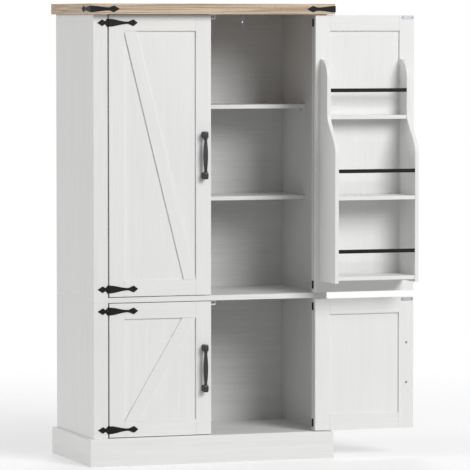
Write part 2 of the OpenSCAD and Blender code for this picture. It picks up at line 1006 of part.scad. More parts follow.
module rack_shelves(side) {
    color("white")
        on_door(side)
            for (top = rack_tops)
                board(
                    [rack_x0 + rack_t, inner_y, top - rack_t],
                    [rack_x1 - rack_t, inner_y + rack_depth(top) - rack_lip, top]
                );
}

module rack_bars(side) {
    color("dimgray")
        on_door(side)
            for (top = rack_tops) {
                mid = top + bar_rise;
                front = inner_y + rack_depth(mid) - rack_lip;
                board(
                    [rack_x0 + rack_t, front - bar_t, mid - bar_h / 2],
                    [rack_x1 - rack_t, front, mid + bar_h / 2]
                );
            }
}

// Corner brackets between the door's free stile and the outer face of the rack's free side
module rack_brackets() {
    difference() {
        for (z = rack_fixing_zs)
            translate([rack_x1, inner_y, z - rack_bracket_h / 2]) {
                cube([rack_screw_x + rack_screw_end - rack_x1, rack_bracket_t, rack_bracket_h]);
                cube([rack_bracket_t, rack_bracket_leg, rack_bracket_h]);
            }
        rack_bracket_screws(fit_play);
    }
}

module rack_bracket_screws(play = 0) {
    for (z = rack_fixing_zs) {
        translate([rack_screw_x, inner_y + rack_bracket_t, z])
            mirror([0, 1, 0])
                screw_y(play);
        translate([rack_x1 + rack_bracket_t, inner_y + rack_bracket_leg - rack_screw_end, z])
            rotate([0, 0, 90])
                screw_y(play);
    }
}

// The brackets' screws, and the hidden bolts from the hinge stile into the rack's edge
module rack_fasteners(play = 0) {
    rack_bracket_screws(play);
    for (z = rack_fixing_zs)
        rod_y(
            rack_x0 + rack_t / 2, inner_y - rack_bolt_in_door - play,
            inner_y + rack_bolt_in_rack + play, z, rack_bolt_r + play
        );
}

// ---------- nodes ----------

top_panel();
corner_straps();
side_panel(LEFT, deck_top, top_z);  // side_panel_left_upper
side_panel(LEFT, 0, deck_z);  // side_panel_left_lower
side_panel(RIGHT, deck_top, top_z);  // side_panel_right_upper
side_panel(RIGHT, 0, deck_z);  // side_panel_right_lower
stile(LEFT, deck_z, top_z);  // stile_left_upper
stile(LEFT, 0, deck_z);  // stile_left_lower
stile(RIGHT, deck_z, top_z);  // stile_right_upper
stile(RIGHT, 0, deck_z);  // stile_right_lower
mid_deck();
bottom_deck();
back_panel(deck_top, top_z);  // back_panel_upper
back_panel(plinth_h, deck_z);  // back_panel_lower
shelf(1);  // shelf_upper
shelf(0);  // shelf_lower
shelf_pins();
plinth_front();
plinth_sides();
plinth_rails();
wall_brackets();
magnet_catches();
hinge_cabinet_leaves();
hinge_pins();
carcass_screws();
dowels();
door_frame(LEFT, UPPER);  // door_upper_left_frame
door_panel(LEFT, UPPER);  // door_upper_left_panel
door_brace(LEFT, UPPER);  // door_upper_left_brace
door_handle(LEFT, UPPER);  // door_upper_left_handle
door_hinge_leaves(LEFT, UPPER);  // door_upper_left_hinge_leaves
door_strike_plate(LEFT, UPPER);  // door_upper_left_strike_plate
door_fixings(LEFT, UPPER);  // door_upper_left_fixings
door_frame(RIGHT, UPPER);  // door_upper_right_frame
door_panel(RIGHT, UPPER);  // door_upper_right_panel
door_brace(RIGHT, UPPER);  // door_upper_right_brace
door_handle(RIGHT, UPPER);  // door_upper_right_handle
door_hinge_leaves(RIGHT, UPPER);  // door_upper_right_hinge_leaves
door_strike_plate(RIGHT, UPPER);  // door_upper_right_strike_plate
door_fixings(RIGHT, UPPER);  // door_upper_right_fixings
door_frame(LEFT, LOWER);  // door_lower_left_frame
door_panel(LEFT, LOWER);  // door_lower_left_panel
door_brace(LEFT, LOWER);  // door_lower_left_brace
door_handle(LEFT, LOWER);  // door_lower_left_handle
door_hinge_leaves(LEFT, LOWER);  // door_lower_left_hinge_leaves
door_strike_plate(LEFT, LOWER);  // door_lower_left_strike_plate
door_fixings(LEFT, LOWER);  // door_lower_left_fixings
door_frame(RIGHT, LOWER);  // door_lower_right_frame
door_panel(RIGHT, LOWER);  // door_lower_right_panel
door_brace(RIGHT, LOWER);  // door_lower_right_brace
door_handle(RIGHT, LOWER);  // door_lower_right_handle
door_hinge_leaves(RIGHT, LOWER);  // door_lower_right_hinge_leaves
door_strike_plate(RIGHT, LOWER);  // door_lower_right_strike_plate
door_fixings(RIGHT, LOWER);  // door_lower_right_fixings
rack_sides(LEFT);  // rack_left_sides
rack_shelves(LEFT);  // rack_left_shelves
rack_bars(LEFT);  // rack_left_bars
rack_sides(RIGHT);  // rack_right_sides
rack_shelves(RIGHT);  // rack_right_shelves
rack_bars(RIGHT);  // rack_right_bars
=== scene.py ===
"""Looks of the farmhouse pantry cabinet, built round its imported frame.

Every size and place comes from the frame's nodes and joints, in metres. Boards are dressed copies of
the frame's solids with eased edges and a grain map; hardware, fasteners and rack sides are made here.
"""

import logging
import math
import random
from dataclasses import dataclass
from enum import Enum
from typing import Iterable, Iterator, Sequence

import bmesh
import bpy
from mathutils import Matrix, Vector


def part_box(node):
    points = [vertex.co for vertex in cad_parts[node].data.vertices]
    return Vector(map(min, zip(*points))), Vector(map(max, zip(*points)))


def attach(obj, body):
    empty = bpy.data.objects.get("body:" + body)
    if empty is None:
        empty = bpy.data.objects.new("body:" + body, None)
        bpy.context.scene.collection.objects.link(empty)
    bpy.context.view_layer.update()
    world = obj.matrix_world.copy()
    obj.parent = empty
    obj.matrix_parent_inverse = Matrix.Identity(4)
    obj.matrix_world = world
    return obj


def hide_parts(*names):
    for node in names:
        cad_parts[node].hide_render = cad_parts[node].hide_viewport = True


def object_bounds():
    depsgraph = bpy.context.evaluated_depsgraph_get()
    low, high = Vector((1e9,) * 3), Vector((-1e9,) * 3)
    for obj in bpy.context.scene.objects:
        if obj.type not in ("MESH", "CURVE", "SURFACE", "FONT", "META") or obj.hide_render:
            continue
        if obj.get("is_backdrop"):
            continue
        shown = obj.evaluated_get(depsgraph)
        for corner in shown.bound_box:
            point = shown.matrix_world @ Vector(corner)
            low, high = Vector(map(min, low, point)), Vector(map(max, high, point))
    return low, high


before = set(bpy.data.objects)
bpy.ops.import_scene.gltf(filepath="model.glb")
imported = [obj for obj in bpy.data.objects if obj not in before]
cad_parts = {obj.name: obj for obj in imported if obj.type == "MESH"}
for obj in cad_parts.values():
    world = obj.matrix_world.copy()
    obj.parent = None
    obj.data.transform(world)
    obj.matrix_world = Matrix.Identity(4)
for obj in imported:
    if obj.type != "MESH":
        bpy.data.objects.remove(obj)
CAD_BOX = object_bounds()

LOG = logging.getLogger("pantry_cabinet")
MM = 0.001
GRAIN_MAP = "grain"
EDGE_MARK = "edge"
DRIVE_MARK = "drive"
MERGE_DISTANCE = 0.002 * MM
FLAT_ANGLE = math.radians(0.5)
BEND_ANGLE = math.radians(0.6)
CURVE_ANGLE = math.radians(36)
END_GRAIN = 0.3
PATTERN_SPREAD = 9.0
ROUND_TOLERANCE = 0.04
RIM_DEPTH = 0.1 * MM
PLAIN_HEAD = 0.2 * MM
WELD_OUTLINE = 0.2 * MM
WELD_SHELLS = 0.01 * MM

Colour = tuple[float, float, float]
Socket = bpy.types.NodeSocket


class Side(Enum):
    """Which pair of doors a piece belongs to."""

    LEFT = "left"
    RIGHT = "right"


class Level(Enum):
    """The upper or the lower unit of the cabinet."""

    UPPER = "upper"
    LOWER = "lower"


class Slot(Enum):
    """The record's material slots."""

    LAMINATE = "white_laminate"
    BACK = "back_board"
    OAK = "oak_top"
    BEECH = "beech_dowel"
    IRON = "black_iron"
    ZINC = "zinc_steel"
    PLASTIC = "white_plastic"


# ---------- node trees ----------


class Wiring:
    """Adds nodes to a node tree and joins them."""

    def __init__(self, tree: bpy.types.NodeTree) -> None:
        """Keeps the tree that the nodes go into."""
        self.tree = tree

    def feed(self, socket: Socket, value: object) -> None:
        """Links a socket, or sets its own value.

        Args:
            socket: The input to feed.
            value: Another node's output, or a plain value.
        """
        if isinstance(value, bpy.types.NodeSocket):
            self.tree.links.new(value, socket)
        else:
            socket.default_value = value

    def add(self, kind: str, inputs: dict | None = None, **settings: object) -> bpy.types.Node:
        """Adds one node.

        Args:
            kind: The node's type name.
            inputs: What feeds its inputs, by name or number.
            settings: Its properties.

        Returns:
            The new node.
        """
        node = self.tree.nodes.new(kind)
        for key, value in settings.items():
            setattr(node, key, value)
        for key, value in (inputs or {}).items():
            self.feed(node.inputs[key], value)
        return node

    def math(self, operation: str, *values: object, clamp: bool = False) -> Socket:
        """Adds a maths node.

        Args:
            operation: Its operation.
            values: Its operands.
            clamp: Whether the result is held from 0 to 1.

        Returns:
            Its output.
        """
        inputs = dict(enumerate(values))
        node = self.add("ShaderNodeMath", inputs, operation=operation, use_clamp=clamp)
        return node.outputs[0]

    def times(self, first: object, second: object) -> Socket:
        """Returns the product of two values."""
        return self.math("MULTIPLY", first, second)

    def plus(self, first: object, second: object) -> Socket:
        """Returns the sum of two values."""
        return self.math("ADD", first, second)

    def less(self, first: object, second: object) -> Socket:
        """Returns the first value less the second."""
        return self.math("SUBTRACT", first, second)

    def remap(self, value: Socket, low: float, high: float, to_low: float, to_high: float) -> Socket:
        """Maps a value from one range to another, held at both ends.

        Args:
            value: The value.
            low: Start of its range.
            high: End of its range.
            to_low: What the start becomes.
            to_high: What the end becomes.

        Returns:
            The mapped value.
        """
        inputs = {0: value, 1: low, 2: high, 3: to_low, 4: to_high}
        return self.add("ShaderNodeMapRange", inputs).outputs[0]


class Shading(Wiring):
    """A material's node tree, with the patterns that the finishes share."""

    def __init__(self, name: str) -> None:
        """Makes the material and its surface shader.

        Args:
            name: The material's name.
        """
        self.material = bpy.data.materials.new(name)
        self.material.use_nodes = True
        super().__init__(self.material.node_tree)
        self.tree.nodes.clear()
        self.surface = self.add("ShaderNodeBsdfPrincipled")
        self.add("ShaderNodeOutputMaterial", {"Surface": self.surface.outputs[0]})

    def grain(self) -> Socket:
        """Returns the piece's grain map: metres along and across the grain."""
        return self.add("ShaderNodeUVMap", uv_map=GRAIN_MAP).outputs["UV"]

    def places(self) -> Socket:
        """Returns the object coordinates."""
        return self.add("ShaderNodeTexCoord").outputs["Object"]

    def edges(self) -> Socket:
        """Returns 1 on the eased edges of a piece and 0 elsewhere."""
        return self.add("ShaderNodeAttribute", attribute_name=EDGE_MARK).outputs["Fac"]

    def noise(self, where: Socket, size: Sequence[float], detail: float = 2.0, warp: float = 0.0) -> Socket:
        """Adds a noise with features of a given size.

        Args:
            where: The coordinates.
            size: Feature size in metres along each axis.
            detail: Octaves of finer noise.
            warp: How much the noise distorts itself.

        Returns:
            The noise, from 0 to 1.
        """
        scale = tuple(1 / length for length in size) + (1,) * (3 - len(size))
        mapping = self.add("ShaderNodeMapping", {"Vector": where, "Scale": scale})
        inputs = {"Vector": mapping.outputs[0], "Scale": 1.0, "Detail": detail, "Distortion": warp}
        dimensions = "2D" if len(size) == 2 else "3D"
        return self.add("ShaderNodeTexNoise", inputs, noise_dimensions=dimensions).outputs[0]

    def mix(self, factor: Socket, low: Colour | Socket, high: Colour | Socket) -> Socket:
        """Blends two colours.

        Args:
            factor: From 0, all low, to 1, all high.
            low: The first colour.
            high: The second colour.

        Returns:
            The blend.
        """
        colours = [c if isinstance(c, bpy.types.NodeSocket) else (*c, 1.0) for c in (low, high)]
        node = self.add(
            "ShaderNodeMix", {0: factor, 6: colours[0], 7: colours[1]}, data_type="RGBA"
        )
        return node.outputs[2]

    def blend(self, first: Socket, share: float, second: Socket) -> Socket:
        """Mixes two patterns.

        Args:
            first: The first pattern.
            share: How much of it counts, from 0 to 1.
            second: The second pattern, which has the rest.

        Returns:
            Their weighted sum.
        """
        return self.plus(self.times(first, share), self.times(second, 1 - share))

    def bump(
        self, height: Socket, depth: float, strength: float = 1.0, under: Socket | None = None
    ) -> Socket:
        """Turns a height into a surface normal.

        Args:
            height: The height pattern, from 0 to 1.
            depth: What 1 means, in metres.
            strength: How strongly it shows.
            under: A normal to add it to.

        Returns:
            The normal.
        """
        inputs = {"Height": height, "Distance": depth, "Strength": strength}
        if under is not None:
            inputs["Normal"] = under
        return self.add("ShaderNodeBump", inputs).outputs[0]

    def set(self, **values: object) -> None:
        """Feeds the surface shader's inputs.

        Args:
            values: What feeds each input, named with underscores for spaces.
        """
        for key, value in values.items():
            if isinstance(value, tuple):
                value = (*value, 1.0)
            self.feed(self.surface.inputs[key.replace("_", " ")], value)


# ---------- finishes ----------


@dataclass(frozen=True)
class Finish:
    """A surface finish, made once and shared by the pieces that wear it."""

    name: str
    slot: Slot

    def material(self) -> bpy.types.Material:
        """Gives the finish's material, which it makes the first time.

        Returns:
            The material.
        """
        made = bpy.data.materials.get(self.name)
        if made is None:
            shading = Shading(self.name)
            self.wire(shading)
            made = shading.material
        return made

    def wire(self, shading: Shading) -> None:
        """Wires the finish up. Each kind of finish has its own way."""
        raise NotImplementedError


@dataclass(frozen=True)
class Laminate(Finish):
    """White wood-grain laminate: soft streaks, fine embossed pores and plain edge banding."""

    tone: Colour = (0.80, 0.80, 0.79)
    streak: Colour = (0.72,) * 3
    streak_share: float = 0.45
    pore_depth: float = 0.12 * MM
    roughness: float = 0.46

    def wire(self, shading: Shading) -> None:
        """Wires the laminate.

        Args:
            shading: The material's node tree.
        """
        where = shading.grain()
        broad = shading.noise(where, (0.9, 0.034), 2.0, 0.4)
        fine = shading.noise(where, (0.22, 0.0045), 3.0, 0.2)
        pores = shading.noise(where, (0.05, 0.0011), 2.0)
        clouds = shading.noise(where, (0.5, 0.4), 1.0)
        figure = shading.blend(broad, 0.4, fine)
        factor = shading.remap(figure, 0.40, 0.62, 0.0, self.streak_share)
        body = shading.mix(factor, self.tone, self.streak)
        body = shading.mix(shading.remap(clouds, 0.3, 0.7, 0.0, 0.16), body, self.streak)
        body = shading.mix(shading.times(shading.edges(), 0.5), body, self.tone)
        sheen = shading.remap(fine, 0.3, 0.7, self.roughness - 0.06, self.roughness + 0.08)
        soft = shading.bump(figure, 0.3 * MM, 0.35)
        shading.set(
            Base_Color=body,
            Roughness=shading.plus(sheen, shading.times(pores, 0.06)),
            Normal=shading.bump(pores, self.pore_depth, 0.5, soft),
            IOR=1.45,
        )


@dataclass(frozen=True)
class Oak(Finish):
    """Light greyed oak: growth bands, long fibres and dark open pores."""

    pale: Colour = (0.68, 0.55, 0.41)
    warm: Colour = (0.40, 0.285, 0.19)
    dark: Colour = (0.245, 0.165, 0.105)
    roughness: float = 0.5

    def wire(self, shading: Shading) -> None:
        """Wires the oak.

        Args:
            shading: The material's node tree.
        """
        where = shading.grain()
        bands = shading.noise(where, (0.55, 0.016), 3.0, 1.1)
        planks = shading.noise(where, (1.4, 0.11), 1.0)
        fibres = shading.noise(where, (0.11, 0.0013), 4.0)
        pores = shading.noise(where, (0.022, 0.0007), 1.0)
        figure = shading.blend(bands, 0.6, fibres)
        body = shading.mix(shading.remap(figure, 0.40, 0.58, 0.0, 1.0), self.warm, self.pale)
        body = shading.mix(shading.remap(planks, 0.35, 0.65, 0.0, 0.3), body, self.warm)
        heart = shading.noise(where, (0.30, 0.0045), 3.0, 0.6)
        body = shading.mix(shading.remap(heart, 0.57, 0.70, 0.0, 0.7), body, self.dark)
        lines = shading.remap(pores, 0.60, 0.72, 0.0, 0.55)
        body = shading.mix(lines, body, self.dark)
        body = shading.mix(shading.times(shading.edges(), 0.3), body, self.pale)
        rough = shading.remap(fibres, 0.3, 0.7, self.roughness - 0.08, self.roughness + 0.12)
        low = shading.bump(figure, 0.4 * MM, 0.4)
        deep = shading.bump(shading.less(1.0, lines), 0.25 * MM, 0.6, low)
        shading.set(Base_Color=body, Roughness=rough, Normal=deep, IOR=1.45)


@dataclass(frozen=True)
class PowderCoat(Finish):
    """Matt black powder coat with orange peel, and a painted highlight on its eased edges."""

    body: Colour = (0.006, 0.006, 0.0065)
    # Colour of the painted highlight on the eased edges.
    edge_highlight_colour: Colour = (0.045, 0.044, 0.042)
    roughness: float = 0.47
    gloss: float = 0.16

    def wire(self, shading: Shading) -> None:
        """Wires the powder coat.

        Args:
            shading: The material's node tree.
        """
        where = shading.places()
        peel = shading.noise(where, (1.1 * MM,) * 3, 2.0)
        grit = shading.noise(where, (0.25 * MM,) * 3, 1.0)
        cast = shading.noise(where, (9 * MM,) * 3, 3.0)
        # Painted highlight: the eased edges are mixed towards a lighter colour and made a little glossier;
        # tint also holds random lighter patches from the cast noise.
        painted_edge_highlight = shading.times(shading.edges(), shading.remap(cast, 0.35, 0.6, 0.25, 1.0))
        tint = shading.math("MAXIMUM", painted_edge_highlight, shading.remap(cast, 0.5, 0.8, 0.0, 0.2))
        rough = shading.remap(cast, 0.3, 0.7, self.roughness - 0.07, self.roughness + 0.1)
        soft = shading.bump(cast, 0.3 * MM, 0.3)
        shading.set(
            Base_Color=shading.mix(tint, self.body, self.edge_highlight_colour),
            Roughness=shading.less(rough, shading.times(painted_edge_highlight, 0.1)),
            Normal=shading.bump(shading.plus(peel, grit), 0.06 * MM, 0.5, soft),
            Specular_IOR_Level=self.gloss,
        )


@dataclass(frozen=True)
class ZincPlate(Finish):
    """Bright zinc plate: faint drawing lines, cloudy passivation and small scuffs."""

    bright: Colour = (0.54, 0.55, 0.57)
    dull: Colour = (0.34, 0.35, 0.37)
    roughness: float = 0.5

    def wire(self, shading: Shading) -> None:
        """Wires the zinc.

        Args:
            shading: The material's node tree.
        """
        where = shading.places()
        drawn = shading.noise(where, (12 * MM, 0.3 * MM, 0.3 * MM), 2.0)
        cloud = shading.noise(where, (5 * MM,) * 3, 3.0)
        scuff = shading.noise(where, (0.5 * MM, 7 * MM, 0.5 * MM), 2.0)
        clouds = shading.remap(cloud, 0.35, 0.7, 0.0, 0.6)
        tint = shading.plus(clouds, shading.remap(scuff, 0.62, 0.75, 0.0, 0.3))
        rough = shading.remap(cloud, 0.3, 0.7, self.roughness - 0.07, self.roughness + 0.13)
        shading.set(
            Base_Color=shading.mix(tint, self.bright, self.dull),
            Metallic=1.0,
            Roughness=rough,
            Normal=shading.bump(drawn, 0.05 * MM, 0.4),
        )


@dataclass(frozen=True)
class Plastic(Finish):
    """Moulded white plastic with a spark-eroded texture."""

    tone: Colour = (0.76, 0.76, 0.74)
    shade: Colour = (0.66, 0.66, 0.64)

    def wire(self, shading: Shading) -> None:
        """Wires the plastic.

        Args:
            shading: The material's node tree.
        """
        where = shading.places()
        flow = shading.noise(where, (14 * MM, 6 * MM, 6 * MM), 2.0, 0.8)
        spark = shading.noise(where, (0.35 * MM,) * 3, 2.0)
        shading.set(
            Base_Color=shading.mix(shading.remap(flow, 0.35, 0.7, 0.0, 0.7), self.tone, self.shade),
            Roughness=shading.remap(flow, 0.3, 0.7, 0.34, 0.46),
            Normal=shading.bump(spark, 0.04 * MM, 0.4),
        )


@dataclass(frozen=True)
class Beech(Finish):
    """Turned beech with short flecks along the grain."""

    tone: Colour = (0.62, 0.43, 0.26)
    fleck: Colour = (0.40, 0.25, 0.14)

    def wire(self, shading: Shading) -> None:
        """Wires the beech.

        Args:
            shading: The material's node tree.
        """
        where = shading.grain()
        bands = shading.noise(where, (30 * MM, 1.5 * MM), 3.0)
        flecks = shading.noise(where, (2.2 * MM, 0.25 * MM), 1.0)
        rings = shading.remap(bands, 0.35, 0.7, 0.0, 0.4)
        tint = shading.plus(rings, shading.remap(flecks, 0.58, 0.7, 0.0, 0.5))
        shading.set(
            Base_Color=shading.mix(tint, self.tone, self.fleck),
            Roughness=shading.remap(bands, 0.3, 0.7, 0.5, 0.66),
            Normal=shading.bump(flecks, 0.08 * MM, 0.4),
        )


WHITE = Laminate("white_wood_laminate", Slot.LAMINATE)
DOOR_WHITE = Laminate(
    "white_door_laminate", Slot.LAMINATE, tone=(0.81, 0.81, 0.80), streak_share=0.34
)
# The back boards wear the white laminate painted darker: painted shade for the cabinet's dim inside.
SHADED_BACK_WHITE = Laminate(
    "white_back_board", Slot.BACK, tone=(0.72, 0.72, 0.715), streak=(0.60,) * 3, roughness=0.55
)
OAK = Oak("light_oak", Slot.OAK)
BLACK = PowderCoat("black_powder_coat", Slot.IRON)
SATIN_BLACK = PowderCoat(
    "satin_black_casting", Slot.IRON, body=(0.018, 0.018, 0.019), roughness=0.38, gloss=0.5
)
ZINC = ZincPlate("bright_zinc", Slot.ZINC)
MAGNET = ZincPlate(
    "dark_magnet_steel", Slot.ZINC, bright=(0.22, 0.22, 0.23), dull=(0.10, 0.10, 0.11), roughness=0.42
)
STRIKE_ZINC = ZincPlate(
    "brushed_strike_zinc", Slot.ZINC, bright=(0.42, 0.43, 0.44), dull=(0.28, 0.28, 0.30)
)
DULL_ZINC = ZincPlate(
    "dull_zinc", Slot.ZINC, bright=(0.27, 0.27, 0.28), dull=(0.15, 0.15, 0.16), roughness=0.4
)
PLASTIC = Plastic("moulded_white_plastic", Slot.PLASTIC)
BEECH = Beech("turned_beech", Slot.BEECH)


# ---------- the frame's sizes ----------


@dataclass(frozen=True)
class Box:
    """A box in the row frame, from its lowest to its highest corner."""

    low: Vector
    high: Vector

    @classmethod
    def of(cls, node: str) -> "Box":
        """Returns a node's box at rest."""
        return cls(*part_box(node))

    @classmethod
    def round(cls, points: Iterable[Vector]) -> "Box":
        """Measures the box round some points.

        Args:
            points: The points.

        Returns:
            Their box.
        """
        found = list(points)
        low = Vector(min(p[i] for p in found) for i in range(3))
        high = Vector(max(p[i] for p in found) for i in range(3))
        return cls(low, high)

    @property
    def middle(self) -> Vector:
        """The box's centre."""
        return (self.low + self.high) / 2

    @property
    def size(self) -> Vector:
        """The box's three sides."""
        return self.high - self.low

    def hold(self, bm: bmesh.types.BMesh) -> None:
        """Brings back any point of a mesh that has strayed out of the box.

        Args:
            bm: The mesh.
        """
        for vert in bm.verts:
            vert.co = Vector(min(max(vert.co[i], self.low[i]), self.high[i]) for i in range(3))

    def holds(self, point: Vector, margin: float = 0.0) -> bool:
        """Tells whether a point is in the box, or within a margin of it."""
        return all(self.low[i] - margin <= point[i] <= self.high[i] + margin for i in range(3))


def islands(bm: bmesh.types.BMesh) -> list[list[bmesh.types.BMFace]]:
    """Splits a mesh into its separate solids.

    Args:
        bm: The mesh.

    Returns:
        The faces of each solid.
    """
    bm.faces.index_update()
    left = set(bm.faces)
    found = []
    for first in list(bm.faces):
        if first not in left:
            continue
        left.discard(first)
        group, todo = [first], [first]
        while todo:
            face = todo.pop()
            near = {f for e in face.edges for f in e.link_faces if f in left}
            left -= near
            group += near
            todo += near
        found.append(sorted(group, key=lambda f: f.index))
    return found


def merged_copy(node: str) -> bmesh.types.BMesh:
    """Returns a copy of a node's mesh with its doubles merged and its flat faces whole.

    Args:
        node: The CAD node.

    Returns:
        The copy.
    """
    bm = bmesh.new()
    bm.from_mesh(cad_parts[node].data)
    bmesh.ops.remove_doubles(bm, verts=bm.verts, dist=MERGE_DISTANCE)
    bmesh.ops.dissolve_limit(bm, angle_limit=FLAT_ANGLE, verts=bm.verts, edges=bm.edges)
    return bm


def solids(node: str) -> list[list[Vector]]:
    """Finds the corner points of each separate solid of a node.

    Args:
        node: The CAD node.

    Returns:
        The points of each solid.
    """
    bm = merged_copy(node)
    found = [[v.co.copy() for v in {v for f in group for v in f.verts}] for group in islands(bm)]
    bm.free()
    return found


# ---------- working meshes ----------


@dataclass(frozen=True)
class Easing:
    """How a piece's sharp edges are eased."""

    width: float = 0.8 * MM
    segments: int = 2
    shortest: float = 6 * MM
    sharp: float = math.radians(40)

    def apply(self, bm: bmesh.types.BMesh) -> None:
        """Rounds the long outer edges and marks the strips that it makes.

        Args:
            bm: The mesh to work.
        """
        mark = bm.faces.layers.float.get(EDGE_MARK) or bm.faces.layers.float.new(EDGE_MARK)
        edges = [
            e
            for e in bm.edges
            if e.is_manifold
            and e.is_convex
            and e.calc_face_angle() > self.sharp
            and e.calc_length() > self.shortest
        ]
        made = bmesh.ops.bevel(
            bm, geom=edges, offset=self.width, offset_type="OFFSET", segments=self.segments,
            profile=0.5, affect="EDGES", clamp_overlap=True, loop_slide=True,
            miter_outer="SHARP", miter_inner="SHARP",
        )
        for face in made["faces"]:
            face[mark] = 1.0


def soften(bm: bmesh.types.BMesh) -> None:
    """Shades eased edges and curved walls smooth, and keeps flat faces flat.

    Args:
        bm: The mesh.
    """
    bm.normal_update()
    mark = bm.faces.layers.float.get(EDGE_MARK)
    eased = {f for f in bm.faces if mark is not None and f[mark] > 0}
    for face in bm.faces:
        curved = any(
            e.is_manifold
            and BEND_ANGLE < e.calc_face_angle() < CURVE_ANGLE
            and not any(f in eased for f in e.link_faces)
            for e in face.edges
        )
        face.smooth = face in eased or curved
    for edge in bm.edges:
        edge.smooth = edge.is_manifold and edge.calc_face_angle() < CURVE_ANGLE


def lay_grain(bm: bmesh.types.BMesh, name: str, direction: Vector | None = None) -> None:
    """Writes the grain map, in metres along and across the grain of each board.

    The grain runs along a board's longest edge, and each board starts elsewhere in the pattern.

    Args:
        bm: The mesh.
        name: The piece's name, which seeds the patterns' offsets.
        direction: The grain's direction, if it isn't the longest edge's.
    """
    layer = bm.loops.layers.uv.get(GRAIN_MAP) or bm.loops.layers.uv.new(GRAIN_MAP)
    draw = random.Random(name)
    for board in islands(bm):
        longest = max((e for f in board for e in f.edges), key=lambda e: round(e.calc_length(), 6))
        along = direction or (longest.verts[1].co - longest.verts[0].co).normalized()
        start = Vector((draw.uniform(0, PATTERN_SPREAD), draw.uniform(0, PATTERN_SPREAD)))
        size = Box.round(v.co for f in board for v in f.verts).size
        for face in board:
            flat = along - face.normal * face.normal.dot(along)
            if flat.length < END_GRAIN:
                widest = max(range(3), key=lambda i: size[i] * (1 - abs(face.normal[i])))
                flat = Vector(float(i == widest) for i in range(3))
                flat -= face.normal * face.normal.dot(flat)
            flat.normalize()
            across = face.normal.cross(flat)
            for loop in face.loops:
                loop[layer].uv = start + Vector((loop.vert.co.dot(flat), loop.vert.co.dot(across)))


THIN_EASING = Easing(0.4 * MM, 2, 3 * MM)
LEAF_EASING = Easing(0.55 * MM, 2, 0.9 * MM)
PLATE_EASING = Easing(0.3 * MM, 2, 1 * MM)
STRIKE_EASING = Easing(0.3 * MM, 2, 0.4 * MM)
MAGNET_EASING = Easing(0.25 * MM, 2, 1 * MM)
BRACE_EASING = Easing(0.8 * MM, 2, 3 * MM)
BAR_EASING = Easing(0.9 * MM, 3, 3 * MM)
RACK_EASING = Easing(0.8 * MM, 2, 0.5 * MM)
TOP_EASING = Easing(1.4 * MM, 3)
FRAME_EASING = Easing(0.9 * MM, 2)


def ease(share: float) -> float:
    """Rises smoothly from 0 to 1, held before 0 and after 1.

    Args:
        share: How far along the rise, from 0 to 1.

    Returns:
        The height reached.
    """
    held = min(max(share, 0.0), 1.0)
    return held * held * (3 - 2 * held)


def circle(radius: float, height: float, steps: int) -> list[Vector]:
    """Spaces points evenly round the Z axis.

    Args:
        radius: Their distance from the axis.
        height: Their height.
        steps: How many there are.

    Returns:
        The points.
    """
    turns = [math.tau * i / steps for i in range(steps)]
    return [Vector((radius * math.cos(a), radius * math.sin(a), height)) for a in turns]


def bridge(
    bm: bmesh.types.BMesh, first: Sequence[bmesh.types.BMVert], second: Sequence[bmesh.types.BMVert]
) -> None:
    """Joins two rings of equal length with a band of faces.

    Args:
        bm: The mesh.
        first: One ring.
        second: The other ring.
    """
    for i in range(len(first)):
        j = (i + 1) % len(first)
        bm.faces.new([first[i], first[j], second[j], second[i]])


def lathe(bm: bmesh.types.BMesh, profile: Sequence[tuple[float, float]], steps: int) -> None:
    """Turns a profile round the Z axis into a closed solid.

    Args:
        bm: The mesh to add it to.
        profile: Points (radius, height). The ends lie on the axis.
        steps: Faces round the axis.
    """
    rings = []
    for radius, height in profile:
        if radius == 0:
            rings.append([bm.verts.new((0, 0, height))])
            continue
        rings.append([bm.verts.new(point) for point in circle(radius, height, steps)])
    for upper, lower in zip(rings, rings[1:]):
        for i in range(steps):
            j = (i + 1) % steps
            picks = ((upper, i), (lower, i), (lower, j), (upper, j))
            corners = [ring[k % len(ring)] for ring, k in picks]
            bm.faces.new(list(dict.fromkeys(corners)))


def round_corners(width: float, height: float, radius: float, steps: int) -> list[tuple[float, float]]:
    """Returns the outline of a rectangle with round corners, about the origin.

    Args:
        width: Along the first axis.
        height: Along the second axis.
        radius: Of the corners.
        steps: Points on each corner, less one.

    Returns:
        The outline's points.
    """
    quarter = math.pi / 2
    corners = [(1, 1, 0), (-1, 1, 1), (-1, -1, 2), (1, -1, 3)]
    return [
        (
            sx * (width / 2 - radius) + radius * math.cos(quarter * (turn + i / steps)),
            sz * (height / 2 - radius) + radius * math.sin(quarter * (turn + i / steps)),
        )
        for sx, sz, turn in corners
        for i in range(steps + 1)
    ]


def loft(bm: bmesh.types.BMesh, rings: Sequence[Sequence[Vector]]) -> None:
    """Joins rings of equal length into a closed solid with flat ends.

    Args:
        bm: The mesh to add it to.
        rings: The points of each ring, from one end to the other.
    """
    made = [[bm.verts.new(p) for p in ring] for ring in rings]
    for lower, upper in zip(made, made[1:]):
        bridge(bm, lower, upper)
    bm.faces.new(list(reversed(made[0])))
    bm.faces.new(made[-1])


def new_object(name: str, bm: bmesh.types.BMesh) -> bpy.types.Object:
    """Makes an object of a mesh, and frees the mesh.

    Args:
        name: The object's name.
        bm: Its mesh.

    Returns:
        The object, at the origin.
    """
    mesh = bpy.data.meshes.new(name)
    bm.to_mesh(mesh)
    bm.free()
    made = bpy.data.objects.new(name, mesh)
    bpy.context.scene.collection.objects.link(made)
    return made


def settle(source: bpy.types.Object) -> bmesh.types.BMesh:
    """Turns an object's modifiers into a plain mesh and removes the object.

    Args:
        source: The object with its modifiers.

    Returns:
        The evaluated mesh.
    """
    graph = bpy.context.evaluated_depsgraph_get()
    mesh = bpy.data.meshes.new_from_object(source.evaluated_get(graph), depsgraph=graph)
    bm = bmesh.new()
    bm.from_mesh(mesh)
    bpy.data.meshes.remove(mesh)
    bpy.data.objects.remove(source)
    return bm


